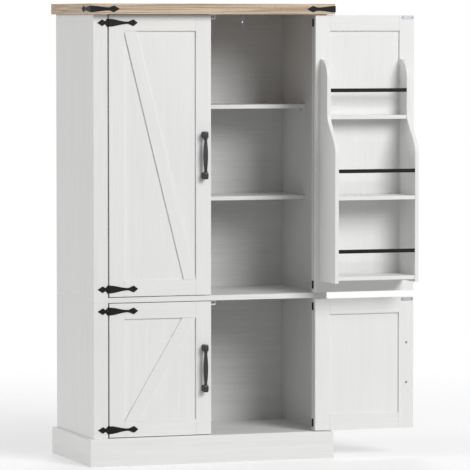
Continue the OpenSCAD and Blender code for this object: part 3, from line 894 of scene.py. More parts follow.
def append(target: bmesh.types.BMesh, part: bmesh.types.BMesh) -> None:
    """Adds one mesh to another, and frees it.

    Args:
        target: The mesh that grows.
        part: The mesh that is used up.
    """
    mesh = bpy.data.meshes.new("part")
    part.to_mesh(mesh)
    part.free()
    target.from_mesh(mesh)
    bpy.data.meshes.remove(mesh)


def dress(
    name: str, bm: bmesh.types.BMesh, finish: Finish, body: str, nodes: Sequence[str]
) -> bpy.types.Object:
    """Makes a finished piece: its object, finish and body, and hides the nodes it stands for.

    Args:
        name: The piece's name.
        bm: Its mesh, in place.
        finish: What it wears.
        body: The body it rides on.
        nodes: The CAD nodes that it replaces.

    Returns:
        The piece.
    """
    made = new_object(name, bm)
    made.data.materials.clear()
    made.data.materials.append(finish.material())
    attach(made, body)
    if nodes:
        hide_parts(*nodes)
    LOG.info("%s: %d faces, %s, on %s", name, len(made.data.polygons), finish.name, body)
    return made


# ---------- geometry nodes ----------


class Maker(Wiring):
    """A geometry node tree with named inputs, and the objects made with it."""

    def __init__(self, name: str) -> None:
        """Makes the empty tree.

        Args:
            name: The tree's name.
        """
        super().__init__(bpy.data.node_groups.new(name, "GeometryNodeTree"))
        for direction in ("INPUT", "OUTPUT"):
            self.tree.interface.new_socket("Geometry", in_out=direction, socket_type="NodeSocketGeometry")
        self.start = self.add("NodeGroupInput")
        self.names: dict[str, str] = {}

    def input(self, name: str, kind: str = "Float") -> Socket:
        """Adds a named input.

        Args:
            name: The input's name.
            kind: The kind of socket.

        Returns:
            The socket that carries it.
        """
        item = self.tree.interface.new_socket(name, in_out="INPUT", socket_type=f"NodeSocket{kind}")
        self.names[name] = item.identifier
        return self.start.outputs[name]

    def inputs(self, *names: str) -> list[Socket]:
        """Returns the sockets of several new number inputs."""
        return [self.input(name) for name in names]

    def output(self, geometry: Socket, finish: Socket) -> None:
        """Ends the tree in real geometry that wears the finish.

        Args:
            geometry: What the tree has made.
            finish: The finish's material.
        """
        real = self.add("GeometryNodeRealizeInstances", {"Geometry": geometry})
        painted_edge_highlight = self.add("GeometryNodeSetMaterial", {"Geometry": real.outputs[0], "Material": finish})
        self.add("NodeGroupOutput", {"Geometry": painted_edge_highlight.outputs[0]})

    def smooth_step(self, value: Socket) -> Socket:
        """Adds a smooth rise from 0 to 1.

        Args:
            value: How far along the rise, from 0 to 1.

        Returns:
            The height reached.
        """
        turned = self.math("COSINE", self.times(value, math.pi))
        return self.times(self.less(1.0, turned), 0.5)

    def run(self, source: bpy.types.Object, values: dict[str, object]) -> bmesh.types.BMesh:
        """Runs the tree on an object.

        Args:
            source: The object, which is used up.
            values: The named inputs' values.

        Returns:
            The plain mesh that it makes.
        """
        modifier = source.modifiers.new(self.tree.name, "NODES")
        modifier.node_group = self.tree
        for name, value in values.items():
            modifier[self.names[name]] = value
        bpy.context.view_layer.update()
        return settle(source)


def fastener_tree() -> Maker:
    """Builds the tree that drives a fastener in at each point, along the point's own direction.

    Returns:
        The tree.
    """
    maker = Maker("fasteners_at_points")
    blank = maker.input("Blank", "Object")
    seed = maker.input("Turn Seed", "Int")
    finish = maker.input("Finish", "Material")
    points = maker.add("GeometryNodeMeshToPoints", {"Mesh": maker.start.outputs["Geometry"]})
    turn = maker.add("FunctionNodeRandomValue", {2: 0.0, 3: math.tau, "Seed": seed}, data_type="FLOAT")
    upright = {"Axis": (0.0, 0.0, 1.0), "Angle": turn.outputs[1]}
    spin = maker.add("FunctionNodeAxisAngleToRotation", upright)
    drive = maker.add("GeometryNodeInputNamedAttribute", {"Name": DRIVE_MARK}, data_type="FLOAT_VECTOR")
    turned = {"Rotation": spin.outputs[0], "Vector": drive.outputs[0]}
    aimed = maker.add("FunctionNodeAlignRotationToVector", turned, axis="Z")
    shape = maker.add("GeometryNodeObjectInfo", {"Object": blank})
    placed = maker.add(
        "GeometryNodeInstanceOnPoints",
        {"Points": points.outputs[0], "Instance": shape.outputs["Geometry"], "Rotation": aimed.outputs[0]},
    )
    maker.output(placed.outputs[0], finish)
    return maker


def bar_tree() -> Maker:
    """Builds the tree of a handle's bar: a swelling grip between two necks with beads.

    Returns:
        The tree.
    """
    maker = Maker("handle_bar")
    length, neck, grip, bead, bead_at, bead_half = maker.inputs(
        "Length", "Neck Radius", "Grip Radius", "Bead Radius", "Bead Place", "Bead Half Width"
    )
    steps = maker.input("Steps", "Int")
    finish = maker.input("Finish", "Material")
    half = maker.times(length, 0.5)
    heights = maker.times(half, -1.0), half
    ends = [maker.add("ShaderNodeCombineXYZ", {"Z": z}).outputs[0] for z in heights]
    line = maker.add("GeometryNodeCurvePrimitiveLine", {"Start": ends[0], "End": ends[1]})
    fine = maker.add("GeometryNodeResampleCurve", {"Curve": line.outputs[0], "Count": steps})
    place = maker.add("GeometryNodeInputPosition")
    height = maker.add("ShaderNodeSeparateXYZ", {0: place.outputs[0]}).outputs["Z"]
    away = maker.math("ABSOLUTE", height)
    share = maker.math("DIVIDE", away, bead_at, clamp=True)
    barrel = maker.math("COSINE", maker.times(share, math.pi / 2))
    swell = maker.plus(neck, maker.times(barrel, maker.less(grip, neck)))
    off = maker.math("DIVIDE", maker.less(away, bead_at), bead_half)
    dome = maker.math("SUBTRACT", 1.0, maker.times(off, off), clamp=True)
    beads = maker.times(maker.math("SQRT", dome), maker.less(bead, neck))
    radius = maker.plus(swell, beads)
    ring = maker.add("GeometryNodeCurvePrimitiveCircle", {"Resolution": 32, "Radius": 1.0})
    solid = maker.add(
        "GeometryNodeCurveToMesh",
        {"Curve": fine.outputs[0], "Profile Curve": ring.outputs[0], "Scale": radius, "Fill Caps": True},
    )
    maker.output(solid.outputs[0], finish)
    return maker


def rack_side_tree() -> Maker:
    """Builds the tree of a rack's side board, deep below and shallow above its curve.

    Returns:
        The tree.
    """
    maker = Maker("rack_side_board")
    deep, shallow, height, thick, curve_low, curve_high = maker.inputs(
        "Depth", "Top Depth", "Height", "Thickness", "Curve Start", "Curve End"
    )
    rows = maker.input("Rows", "Int")
    finish = maker.input("Finish", "Material")
    unit = {"Size X": 1.0, "Size Y": 1.0, "Vertices X": 2, "Vertices Y": rows}
    grid = maker.add("GeometryNodeMeshGrid", unit)
    place = maker.add("ShaderNodeSeparateXYZ", {0: maker.add("GeometryNodeInputPosition").outputs[0]})
    out = maker.plus(place.outputs["X"], 0.5)
    up = maker.plus(place.outputs["Y"], 0.5)
    z = maker.times(height, maker.math("SINE", maker.times(up, math.pi / 2)))
    risen = maker.less(z, curve_low)
    share = maker.math("DIVIDE", risen, maker.less(curve_high, curve_low), clamp=True)
    lost = maker.times(maker.smooth_step(share), maker.less(deep, shallow))
    corner_low = maker.less(height, shallow)
    corner = maker.math("DIVIDE", maker.less(z, corner_low), shallow, clamp=True)
    square = maker.times(corner, corner)
    arc = maker.math("SQRT", maker.math("SUBTRACT", 1.0, square, clamp=True))
    depth = maker.times(maker.less(deep, lost), arc)
    spot = maker.add("ShaderNodeCombineXYZ", {"Y": maker.times(out, depth), "Z": z})
    wall = maker.add("GeometryNodeSetPosition", {"Geometry": grid.outputs[0], "Position": spot.outputs[0]})
    merged = {"Geometry": wall.outputs[0], "Distance": WELD_OUTLINE}
    closed = maker.add("GeometryNodeMergeByDistance", merged)
    push = maker.add("ShaderNodeCombineXYZ", {"X": thick})
    pulled = maker.add(
        "GeometryNodeExtrudeMesh",
        {"Mesh": closed.outputs[0], "Offset": push.outputs[0], "Offset Scale": 1.0, "Individual": False},
    )
    back = maker.add("GeometryNodeFlipFaces", {"Mesh": closed.outputs[0]})
    both = maker.add("GeometryNodeJoinGeometry")
    for part in (pulled.outputs[0], back.outputs[0]):
        maker.tree.links.new(part, both.inputs[0])
    joined = {"Geometry": both.outputs[0], "Distance": WELD_SHELLS}
    whole = maker.add("GeometryNodeMergeByDistance", joined)
    maker.output(whole.outputs[0], finish)
    return maker


# ---------- fasteners ----------


class Head(Enum):
    """The shapes of a fastener's head."""

    COUNTERSUNK = "countersunk"
    PAN = "pan"
    NONE = "none"
    RIVET = "rivet"
    FLUTED = "fluted"


@dataclass(frozen=True)
class Fastener:
    """One fastener as the frame has it: where its head is, and how it is driven."""

    place: Vector
    drive: Vector
    head_radius: float
    shank_radius: float
    length: float

    @classmethod
    def measured(cls, points: Sequence[Vector]) -> "Fastener | None":
        """Measures a turned solid.

        Args:
            points: Its corner points.

        Returns:
            The fastener, or None if the solid isn't round.
        """
        box = Box.round(points)
        axis = max(range(3), key=lambda i: box.size[i])
        wide, deep = (box.size[i] for i in range(3) if i != axis)
        if abs(wide - deep) > ROUND_TOLERANCE * wide:
            return None
        reach = {}
        for end in (box.low[axis], box.high[axis]):
            rim = [p - box.middle for p in points if abs(p[axis] - end) < RIM_DEPTH]
            reach[end] = max(math.hypot(*(p[i] for i in range(3) if i != axis)) for p in rim)
        head, tip = sorted(reach, key=lambda end: (-round(reach[end], 5), end))
        place = box.middle.copy()
        place[axis] = head
        drive = Vector((0, 0, 0))
        drive[axis] = 1 if tip > head else -1
        radii = [math.hypot(*((p - box.middle)[i] for i in range(3) if i != axis)) for p in points]
        return cls(place, drive, reach[head], min(radii), box.size[axis])

    @property
    def key(self) -> tuple[float, ...]:
        """What fasteners of one size share."""
        return tuple(round(v, 5) for v in (self.head_radius, self.shank_radius, self.length))


@dataclass(frozen=True)
class Blank:
    """The shape of one size of fastener, with its head at the origin and its shank along +Z."""

    kind: Head
    head_radius: float
    shank_radius: float
    length: float
    steps: int = 24
    dome: float = 0.35 * MM
    pan_height: float = 2.2 * MM
    chamfer: float = 0.3 * MM
    rivet_cap: float = 1 * MM
    rivet_rise: float = 0.12 * MM
    dowel_chamfer: float = 0.8 * MM
    flute: float = 0.25 * MM
    weld: float = 0.001 * MM
    arm: float = 0.62
    arm_half: float = 0.13
    recess: float = 0.42
    recess_taper: float = 0.7
    flat: float = 0.8
    pan_flat: float = 0.72
    pan_shoulder: float = 0.93

    def mesh(self) -> bmesh.types.BMesh:
        """Shapes the fastener.

        Returns:
            Its mesh.
        """
        bm = bmesh.new()
        r, head, length = self.shank_radius, self.head_radius, self.length
        cut = self.chamfer
        tip = [(r, length - cut), (r - cut, length), (0, length)]
        if self.kind is Head.COUNTERSUNK:
            self.driven_head(bm, head, self.dome)
            neck = head - r + self.dome
            lathe(bm, [(head, self.dome), (r, neck), (r, length - 2 * r), (0, length)], self.steps)
        elif self.kind is Head.PAN:
            high = self.pan_height
            face, shoulder = head * self.pan_flat, head * self.pan_shoulder
            self.driven_head(bm, face, 0.0)
            pan = [(face, 0), (shoulder, high * 0.3), (head, high * 0.62), (head, high), (r, high)]
            lathe(bm, pan + tip, self.steps)
        elif self.kind is Head.RIVET:
            cap = self.rivet_cap
            crown = [(0, 0), (head * 0.7, self.rivet_rise), (head, cap * 0.6), (head, cap), (r, cap)]
            lower = [(a, length - b) for a, b in reversed(crown)]
            lathe(bm, crown + lower, self.steps)
        elif self.kind is Head.FLUTED:
            self.fluted(bm)
        else:
            lathe(bm, [(0, 0), (r - cut, 0), (r, cut)] + tip, self.steps)
        bmesh.ops.remove_doubles(bm, verts=bm.verts, dist=self.weld)
        bmesh.ops.recalc_face_normals(bm, faces=bm.faces)
        for face in bm.faces:
            face.smooth = len(face.verts) == 4
        return bm

    def driven_head(self, bm: bmesh.types.BMesh, radius: float, sunk: float) -> None:
        """Adds a head's face with a cross recess.

        Args:
            bm: The mesh.
            radius: The face's radius.
            sunk: How far its rim lies below its raised middle.
        """
        arm, half, depth = radius * self.arm, radius * self.arm_half, radius * self.recess
        taper = self.recess_taper
        rim = [bm.verts.new(point) for point in circle(radius, sunk, self.steps)]
        ring = [bm.verts.new(point) for point in circle(radius * self.flat, 0, self.steps)]
        bridge(bm, rim, ring)
        quarter = [(arm, -half), (arm, half), (half, half)]
        cross = []
        for turn in range(4):
            c, s = round(math.cos(turn * math.pi / 2)), round(math.sin(turn * math.pi / 2))
            cross += [(x * c - y * s, x * s + y * c) for x, y in quarter]
        top = [bm.verts.new((x, y, 0)) for x, y in cross]
        low = [bm.verts.new((x * taper, y * taper, depth)) for x, y in cross]
        bridge(bm, top, low)
        bm.faces.new(low)
        pairs = [pair for group in (ring, top) for pair in zip(group, group[1:] + group[:1])]
        edges = [bm.edges.get(pair) for pair in pairs]
        bmesh.ops.triangle_fill(bm, edges=edges, use_beauty=True)

    def fluted(self, bm: bmesh.types.BMesh) -> None:
        """Adds a dowel with straight flutes and chamfered ends.

        Args:
            bm: The mesh to add it to.
        """
        r, length, chamfer = self.shank_radius, self.length, self.dowel_chamfer
        count = 2 * self.steps
        radii = [r if i % 4 else r - self.flute for i in range(count)]
        levels = [(chamfer, 0.0), (0.0, chamfer), (0.0, length - chamfer), (chamfer, length)]
        rings = [
            [
                Vector((
                    (radii[i] - cut) * math.cos(math.tau * i / count),
                    (radii[i] - cut) * math.sin(math.tau * i / count),
                    z,
                ))
                for i in range(count)
            ]
            for cut, z in levels
        ]
        loft(bm, rings)


@dataclass
class FastenerKit:
    """Makes every group of fasteners with one tree."""

    maker: Maker

    def make(
        self, name: str, fasteners: Sequence[Fastener], kinds: dict[tuple[float, ...], Head],
        finish: Finish, body: str, nodes: Sequence[str], extra: bmesh.types.BMesh | None = None,
    ) -> bpy.types.Object:
        """Makes one piece of all the fasteners that share a body and a finish.

        Args:
            name: The piece's name.
            fasteners: The fasteners.
            kinds: The head of each size, by its key.
            finish: What they wear.
            body: The body they ride on.
            nodes: The CAD nodes that the piece stands for.
            extra: A mesh that belongs to the same piece.

        Returns:
            The piece.
        """
        whole = extra or bmesh.new()
        for key in sorted({f.key for f in fasteners}):
            group = [f for f in fasteners if f.key == key]
            blank = new_object(f"{name}_blank", Blank(kinds[key], *key).mesh())
            points = bpy.data.meshes.new(f"{name}_points")
            points.from_pydata([f.place for f in group], [], [])
            drive = points.attributes.new(DRIVE_MARK, "FLOAT_VECTOR", "POINT")
            drive.data.foreach_set("vector", [c for f in group for c in f.drive])
            source = bpy.data.objects.new(f"{name}_places", points)
            bpy.context.scene.collection.objects.link(source)
            values = {"Blank": blank, "Turn Seed": len(group), "Finish": finish.material()}
            append(whole, self.maker.run(source, values))
            bpy.data.objects.remove(blank)
        whole.normal_update()
        lay_grain(whole, name)
        return dress(name, whole, finish, body, nodes)


def measured_in(nodes: Iterable[str]) -> Iterator[Fastener]:
    """Finds the fasteners that some nodes hold.

    Args:
        nodes: The CAD nodes.

    Yields:
        Each fastener.
    """
    for node in nodes:
        for points in solids(node):
            found = Fastener.measured(points)
            if found is not None:
                yield found


# ---------- sub-assemblies ----------


def board(
    node: str, finish: Finish, body: str, easing: Easing = Easing(), grain: Vector | None = None
) -> bpy.types.Object:
    """Makes the visible piece of a board, plate or bar from its CAD node.

    Args:
        node: The node, which the piece stands for.
        finish: What it wears.
        body: The body it rides on.
        easing: How its edges are eased.
        grain: The grain's direction, if it isn't along the longest edge.

    Returns:
        The piece.
    """
    bm = merged_copy(node)
    easing.apply(bm)
    Box.of(node).hold(bm)
    soften(bm)
    lay_grain(bm, node, grain)
    return dress(f"{node}_piece", bm, finish, body, [node])


@dataclass
class Carcass:
    """The standing part of the cabinet: sides, stiles, decks, backs, shelves, plinth and top."""

    kit: FastenerKit
    body: str = "carcass"
    ear: float = 8 * MM
    pocket: float = 2 * MM
    magnet_width: float = 15.4 * MM
    magnet_height: float = 8.4 * MM
    magnet_front: float = 1.8 * MM
    magnet_gap: float = 0.3 * MM
    pole_thick: float = 1.6 * MM
    pole_front: float = 1 * MM

    def build(self) -> None:
        """Builds every piece that stands still."""
        self.boards()
        self.top()
        self.hardware()
        self.catches()
        self.fasteners()

    def boards(self) -> None:
        """Makes the laminated boards."""
        kinds = ("side_panel", "stile")
        units = [f"{kind}_{side.value}_{level.value}" for kind in kinds for side in Side for level in Level]
        others = ["mid_deck", "bottom_deck", "shelf_upper", "shelf_lower"]
        others += ["plinth_front", "plinth_sides", "plinth_rails"]
        for node in units + others:
            board(node, WHITE, self.body)
        # The back boards get the darkened laminate, which is painted shade.
        for level in Level:
            board(f"back_panel_{level.value}", SHADED_BACK_WHITE, self.body, THIN_EASING, Vector((1, 0, 0)))

    def top(self) -> None:
        """Makes the oak top and its corner straps."""
        board("top_panel", OAK, self.body, TOP_EASING)
        board("corner_straps", BLACK, self.body, LEAF_EASING)

    def hardware(self) -> None:
        """Makes the fixed hinge leaves and the wall brackets."""
        board("hinge_cabinet_leaves", BLACK, self.body, LEAF_EASING)
        board("wall_brackets", ZINC, self.body, THIN_EASING)

    def catches(self) -> None:
        """Makes the magnetic catches: plastic bodies and, in their pockets, magnets between steel poles."""
        board("magnet_catches", PLASTIC, self.body, THIN_EASING)
        bm = bmesh.new()
        for points in solids("magnet_catches"):
            box = Box.round(points)
            for side in (-1, 1):
                self.magnet(bm, box, side)
        MAGNET_EASING.apply(bm)
        soften(bm)
        lay_grain(bm, "catch_magnets")
        dress("catch_magnets", bm, MAGNET, self.body, [])

    def magnet(self, bm: bmesh.types.BMesh, catch: Box, side: int) -> None:
        """Adds one magnet with its two pole plates.

        Args:
            bm: The mesh to add them to.
            catch: The catch's box.
            side: Which pocket, -1 or 1.
        """
        middle = catch.middle.x + side * (catch.size.x - 2 * self.ear) / 4
        half, inner = self.magnet_width / 2, self.magnet_width / 2 - self.pole_thick
        blocks = (
            (-half, -inner, self.pole_front),
            (inner, half, self.pole_front),
            (-inner + self.magnet_gap, inner - self.magnet_gap, self.magnet_front),
        )
        for left, right, front in blocks:
            low = Vector((middle + left, catch.low.y + front, catch.middle.z - self.magnet_height / 2))
            size = Vector((right - left, self.pocket - front, self.magnet_height))
            made = bmesh.ops.create_cube(bm, size=1)
            bmesh.ops.scale(bm, vec=size, verts=made["verts"])
            bmesh.ops.translate(bm, vec=low + size / 2, verts=made["verts"])

    def fasteners(self) -> None:
        """Makes the carcass's screws, strap nails, dowels, shelf pins and hinge pins."""
        straps, leaves = Box.of("corner_straps"), Box.of("hinge_cabinet_leaves")
        found = list(measured_in(["carcass_screws"]))
        black = [f for f in found if f.place.y < leaves.high.y or straps.holds(f.place, MM)]
        zinc = [f for f in found if f not in black]
        heads = {f.key: Head.COUNTERSUNK for f in found}
        self.kit.make("strap_and_hinge_screws", black, heads, BLACK, self.body, ["carcass_screws"])
        self.kit.make("bracket_and_catch_screws", zinc, heads, DULL_ZINC, self.body, [])
        others = (
            ("dowels", Head.FLUTED, BEECH),
            ("shelf_pins", Head.NONE, ZINC),
            ("hinge_pins", Head.RIVET, BLACK),
        )
        for node, kind, finish in others:
            group = list(measured_in([node]))
            self.kit.make(f"{node}_piece", group, {f.key: kind for f in group}, finish, self.body, [node])


@dataclass
class Handle:
    """A cast handle: two pillow-shaped feet joined by a swelling bar with beads."""

    maker: Maker
    node: str
    body: str
    outward: int
    foot_width: float = 24 * MM
    foot_height: float = 28 * MM
    neck_radius: float = 5.5 * MM
    grip_radius: float = 9.5 * MM
    bead_radius: float = 7.6 * MM
    bead_half: float = 2.4 * MM
    base_share: float = 0.92
    waist_share: float = 0.78
    face_share: float = 0.5
    pad_share: float = 0.88
    tall_share: float = 0.8
    corner_share: float = 0.3
    base_end: float = 0.10
    waist_at: float = 0.32
    pad_at: float = 0.70
    round_at: float = 0.84
    foot_steps: int = 32
    corner_steps: int = 5
    bar_inset: float = 8 * MM
    bar_overlap: float = 8 * MM
    bar_steps: int = 150
    bead_share: float = 0.62
    voxel: float = 0.8 * MM
    smooth_factor: float = 0.5
    smooth_rounds: int = 3

    def build(self) -> bpy.types.Object:
        """Builds the handle as one casting.

        Returns:
            The piece.
        """
        box = Box.of(self.node)
        pitch = box.size.z - self.foot_height
        reach = box.size.y - self.bar_inset
        start = new_object(f"{self.node}_bar", bmesh.new())
        whole = self.maker.run(start, {
            "Length": pitch + self.bar_overlap,
            "Neck Radius": self.neck_radius,
            "Grip Radius": self.grip_radius,
            "Bead Radius": self.bead_radius,
            "Bead Place": pitch / 2 - self.foot_height * self.bead_share,
            "Bead Half Width": self.bead_half,
            "Steps": self.bar_steps,
            "Finish": SATIN_BLACK.material(),
        })
        bmesh.ops.translate(whole, vec=(0, -reach, 0), verts=whole.verts)
        for end in (-1, 1):
            loft(whole, self.foot_rings(end * pitch / 2, box.size.y))
        bmesh.ops.recalc_face_normals(whole, faces=whole.faces)
        flip = Matrix.Diagonal((1, -self.outward, 1, 1))
        door_face = box.high.y if self.outward < 0 else box.low.y
        move = Matrix.Translation((box.middle.x, door_face, box.middle.z)) @ flip
        bmesh.ops.transform(whole, matrix=move, verts=whole.verts)
        if move.determinant() < 0:
            bmesh.ops.reverse_faces(whole, faces=whole.faces)
        whole = self.cast(whole)
        lay_grain(whole, self.node, Vector((0, 0, 1)))
        return dress(f"{self.node}_casting", whole, SATIN_BLACK, self.body, [self.node])

    def foot_share(self, along: float) -> float:
        """Returns how wide a foot is, as a share of its outer pad.

        Args:
            along: How far out from the door, from 0 to 1.

        Returns:
            The width's share: a base, a waist and a pad with a rounded face.
        """
        if along < self.waist_at:
            drop = ease((along - self.base_end) / (self.waist_at - self.base_end))
            return self.base_share + (self.waist_share - self.base_share) * drop
        swell = ease((along - self.waist_at) / (self.pad_at - self.waist_at))
        rise = self.waist_share + (1 - self.waist_share) * swell
        past = max(0.0, (along - self.round_at) / (1 - self.round_at))
        return rise * (self.face_share + (1 - self.face_share) * math.sqrt(1 - past * past))

    def foot_rings(self, height: float, reach: float) -> list[list[Vector]]:
        """Returns a foot's sections, from the door outwards.

        Args:
            height: The foot's middle above the handle's.
            reach: How far the foot stands out.

        Returns:
            The points of each section.
        """
        rings = []
        for step in range(self.foot_steps + 1):
            along = step / self.foot_steps
            share = self.foot_share(along)
            wide = self.foot_width * self.pad_share * share
            tall = self.foot_height * (1 - (1 - share) * self.tall_share)
            outline = round_corners(wide, tall, wide * self.corner_share, self.corner_steps)
            rings.append([Vector((x, -reach * along, height + z)) for x, z in outline])
        return rings

    def cast(self, bm: bmesh.types.BMesh) -> bmesh.types.BMesh:
        """Melts the parts of the handle into one skin.

        Args:
            bm: The separate closed shells.

        Returns:
            The one skin.
        """
        rough = new_object(f"{self.node}_rough", bm)
        remesh = rough.modifiers.new("melt", "REMESH")
        remesh.mode = "VOXEL"
        remesh.voxel_size = self.voxel
        smooth = rough.modifiers.new("soften", "SMOOTH")
        smooth.factor = self.smooth_factor
        smooth.iterations = self.smooth_rounds
        made = settle(rough)
        Box.of(self.node).hold(made)
        for face in made.faces:
            face.smooth = True
        return made


@dataclass
class DoorRack:
    """The storage rack inside an upper door."""

    maker: Maker
    side: Side
    body: str
    depth_sign: int
    top_depth: float = 75 * MM
    curve_rise: float = 8 * MM
    curve_height: float = 153 * MM
    rows: int = 110

    def build(self) -> None:
        """Builds the rack's sides, shelves and bars."""
        name = f"rack_{self.side.value}"
        self.sides(f"{name}_sides")
        board(f"{name}_shelves", DOOR_WHITE, self.body)
        board(f"{name}_bars", BLACK, self.body, BAR_EASING)

    def sides(self, node: str) -> None:
        """Makes both side boards, each from the tree.

        Args:
            node: The CAD node of the sides.
        """
        curve_top = Box.of(f"rack_{self.side.value}_shelves").high.z + self.curve_rise
        whole = bmesh.new()
        for points in solids(node):
            box = Box.round(points)
            start = new_object(f"{node}_blank", bmesh.new())
            made = self.maker.run(start, {
                "Depth": box.size.y,
                "Top Depth": self.top_depth,
                "Height": box.size.z,
                "Thickness": box.size.x,
                "Curve Start": curve_top - self.curve_height - box.low.z,
                "Curve End": curve_top - box.low.z,
                "Rows": self.rows,
                "Finish": DOOR_WHITE.material(),
            })
            rear = box.low.y if self.depth_sign > 0 else box.high.y
            flip = Matrix.Diagonal((1, self.depth_sign, 1, 1))
            move = Matrix.Translation((box.low.x, rear, box.low.z)) @ flip
            bmesh.ops.transform(made, matrix=move, verts=made.verts)
            bmesh.ops.recalc_face_normals(made, faces=made.faces)
            append(whole, made)
        RACK_EASING.apply(whole)
        soften(whole)
        lay_grain(whole, node, Vector((0, 0, 1)))
        dress(f"{node}_boards", whole, DOOR_WHITE, self.body, [node])


@dataclass
class Door:
    """A framed door with its panel, brace, handle, hinge leaves, strike plate and fixings."""

    kit: FastenerKit
    bar_maker: Maker
    rack_maker: Maker
    level: Level
    side: Side

    @property
    def name(self) -> str:
        """The door's body, which its nodes' names start with."""
        return f"door_{self.level.value}_{self.side.value}"

    def build(self) -> None:
        """Builds every piece that swings with the door."""
        parts = (
            ("frame", DOOR_WHITE, FRAME_EASING),
            ("panel", DOOR_WHITE, THIN_EASING),
            ("brace", DOOR_WHITE, BRACE_EASING),
            ("hinge_leaves", BLACK, LEAF_EASING),
            ("strike_plate", STRIKE_ZINC, STRIKE_EASING),
        )
        for part, finish, easing in parts:
            board(f"{self.name}_{part}", finish, self.name, easing)
        Handle(self.bar_maker, f"{self.name}_handle", self.name, self.outward()).build()
        self.fasteners()
        if self.level is Level.UPPER:
            DoorRack(self.rack_maker, self.side, self.name, -self.outward()).build()

    def outward(self) -> int:
        """Finds which way along Y the door's face looks.

        Returns:
            -1 or 1.
        """
        handle = Box.of(f"{self.name}_handle").middle.y
        return -1 if handle < Box.of(f"{self.name}_frame").middle.y else 1

    def fasteners(self) -> None:
        """Makes the hinge screws in black, and the other fixings in zinc."""
        node = f"{self.name}_fixings"
        door = Box.of(f"{self.name}_frame").middle.y
        found, plates = [], bmesh.new()
        for group in self.groups(node):
            fastener = Fastener.measured([v.co for v in {v for f in group for v in f.verts}])
            if fastener is None:
                self.copy_faces(plates, group)
            else:
                found.append(fastener)
        longest = max(f.length for f in found)
        kinds = {}
        for f in found:
            plain = f.head_radius - f.shank_radius < PLAIN_HEAD
            kinds[f.key] = Head.NONE if plain else Head.PAN if f.length == longest else Head.COUNTERSUNK
        outer = [f for f in found if (f.place.y - door) * self.outward() > 0]
        black = [f for f in outer if kinds[f.key] is Head.COUNTERSUNK]
        zinc = [f for f in found if f not in black]
        PLATE_EASING.apply(plates)
        soften(plates)
        self.kit.make(f"{self.name}_hinge_screws", black, kinds, BLACK, self.name, [node])
        self.kit.make(f"{self.name}_bolts_and_screws", zinc, kinds, DULL_ZINC, self.name, [], plates)

    @staticmethod
    def groups(node: str) -> Iterator[list[bmesh.types.BMFace]]:
        """Goes through the solids of a node, while its mesh is open.

        Args:
            node: The CAD node.

        Yields:
            The faces of each solid.
        """
        bm = merged_copy(node)
        yield from islands(bm)
        bm.free()

    @staticmethod
    def copy_faces(target: bmesh.types.BMesh, faces: Iterable[bmesh.types.BMFace]) -> None:
        """Copies some faces into another mesh.

        Args:
            target: The mesh that gets them.
            faces: The faces.
        """
        made: dict[int, bmesh.types.BMVert] = {}
        for face in faces:
            for vert in face.verts:
                if vert.index not in made:
                    made[vert.index] = target.verts.new(vert.co)
            target.faces.new([made[v.index] for v in face.verts])


# ---------- studio ----------


@dataclass(frozen=True)
class Lamp:
    """A round area light."""

    name: str
    place: tuple[float, float, float]
    size: float
    power: float

    def hang(self, target: Vector) -> None:
        """Hangs the lamp so that it faces a target.

        Args:
            target: What it faces.
        """
        data = bpy.data.lights.new(self.name, "AREA")
        data.energy, data.size, data.shape = self.power, self.size, "DISK"
        made = bpy.data.objects.new(self.name, data)
        made.location = self.place
        made.rotation_euler = (target - Vector(self.place)).to_track_quat("-Z", "Y").to_euler()
        bpy.context.scene.collection.objects.link(made)


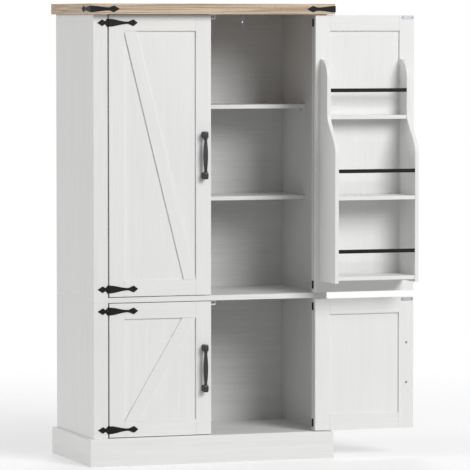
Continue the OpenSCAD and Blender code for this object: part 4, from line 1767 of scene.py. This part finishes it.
@dataclass
class Studio:
    """The pale floor, the soft lights and the camera."""

    key: Lamp = Lamp("key_light", (3.4, -8.3, 5.6), 5.0, 715.0)
    left: Lamp = Lamp("left_light", (-8.8, 0.1, 3.0), 3.0, 285.0)
    back: Lamp = Lamp("back_light", (2.5, 7.5, 6.0), 4.0, 260.0)

    azimuth: float = math.radians(-19.2)
    tilt: float = math.radians(3.25)
    camera_place: tuple[float, float, float] = (-4.7296, -14.1048, 1.7276)
    lens: float = 286.0
    sensor: float = 36.0
    clip_end: float = 100.0
    floor_radius: float = 4.0
    fade_from: float = 0.2
    fade_to: float = 0.95
    shadow_share: float = 0.6
    light_share: float = 0.31
    mirror_share: float = 0.8

    def build(self) -> None:
        """Builds the set round the cabinet."""
        self.camera()
        self.floor()
        self.lights()
        self.world()
        settings = bpy.context.scene.view_settings
        settings.view_transform = "Standard"
        settings.look = "None"

    def camera(self) -> None:
        """Places the camera at the left of the cabinet's front, looking slightly down."""
        data = bpy.data.cameras.new("camera")
        data.lens, data.sensor_width = self.lens, self.sensor
        data.clip_end = self.clip_end
        made = bpy.data.objects.new("camera", data)
        made.location = self.camera_place
        made.rotation_euler = (math.pi / 2 - self.tilt, 0.0, self.azimuth)
        bpy.context.scene.collection.objects.link(made)
        bpy.context.scene.camera = made

    def floor(self) -> None:
        """Lays a pale floor that fades out towards its rim."""
        bm = bmesh.new()
        bmesh.ops.create_circle(bm, cap_ends=True, segments=96, radius=self.floor_radius)
        made = new_object("floor", bm)
        shading = Shading("pale_floor")
        where = shading.places()
        far = shading.add("ShaderNodeVectorMath", {0: where}, operation="LENGTH").outputs["Value"]
        mottle = shading.noise(where, (0.6, 0.6), 3.0)
        near, rim = self.floor_radius * self.fade_from, self.floor_radius * self.fade_to
        shading.set(
            Base_Color=shading.mix(mottle, (0.92, 0.92, 0.92), (0.95, 0.95, 0.95)),
            Roughness=0.9,
            Alpha=shading.remap(far, near, rim, self.shadow_share, 0.0),
        )
        made.data.materials.append(shading.material)
        made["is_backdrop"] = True

    def lights(self) -> None:
        """Hangs a large key light in front, and weaker ones at the left and behind."""
        middle = (CAD_BOX[0] + CAD_BOX[1]) / 2
        for lamp in (self.key, self.left, self.back):
            lamp.hang(middle)

    def world(self) -> None:
        """Surrounds the set with white, dimmer as a light than as a backdrop."""
        world = bpy.data.worlds.new("white_room")
        world.use_nodes = True
        wiring = Wiring(world.node_tree)
        wiring.tree.nodes.clear()
        path = wiring.add("ShaderNodeLightPath")
        glossy = path.outputs["Is Glossy Ray"]
        mirrored = wiring.remap(glossy, 0.0, 1.0, self.light_share, self.mirror_share)
        strength = wiring.math("MAXIMUM", mirrored, path.outputs["Is Camera Ray"])
        sky = wiring.add("ShaderNodeBackground", {"Color": (1.0, 1.0, 1.0, 1.0), "Strength": strength})
        wiring.add("ShaderNodeOutputWorld", {"Surface": sky.outputs[0]})
        bpy.context.scene.world = world


def main() -> None:
    """Builds the cabinet's pieces and the studio."""
    logging.basicConfig(level=logging.INFO, format="%(name)s: %(message)s")
    kit = FastenerKit(fastener_tree())
    bar, rack_side = bar_tree(), rack_side_tree()
    Carcass(kit).build()
    for level in Level:
        for side in Side:
            Door(kit, bar, rack_side, level, side).build()
    Studio().build()
    boxes = {"cad": CAD_BOX, "visual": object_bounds()}
    {name: [list(corner) for corner in box] for name, box in boxes.items()}


if __name__ == "__main__":
    main()
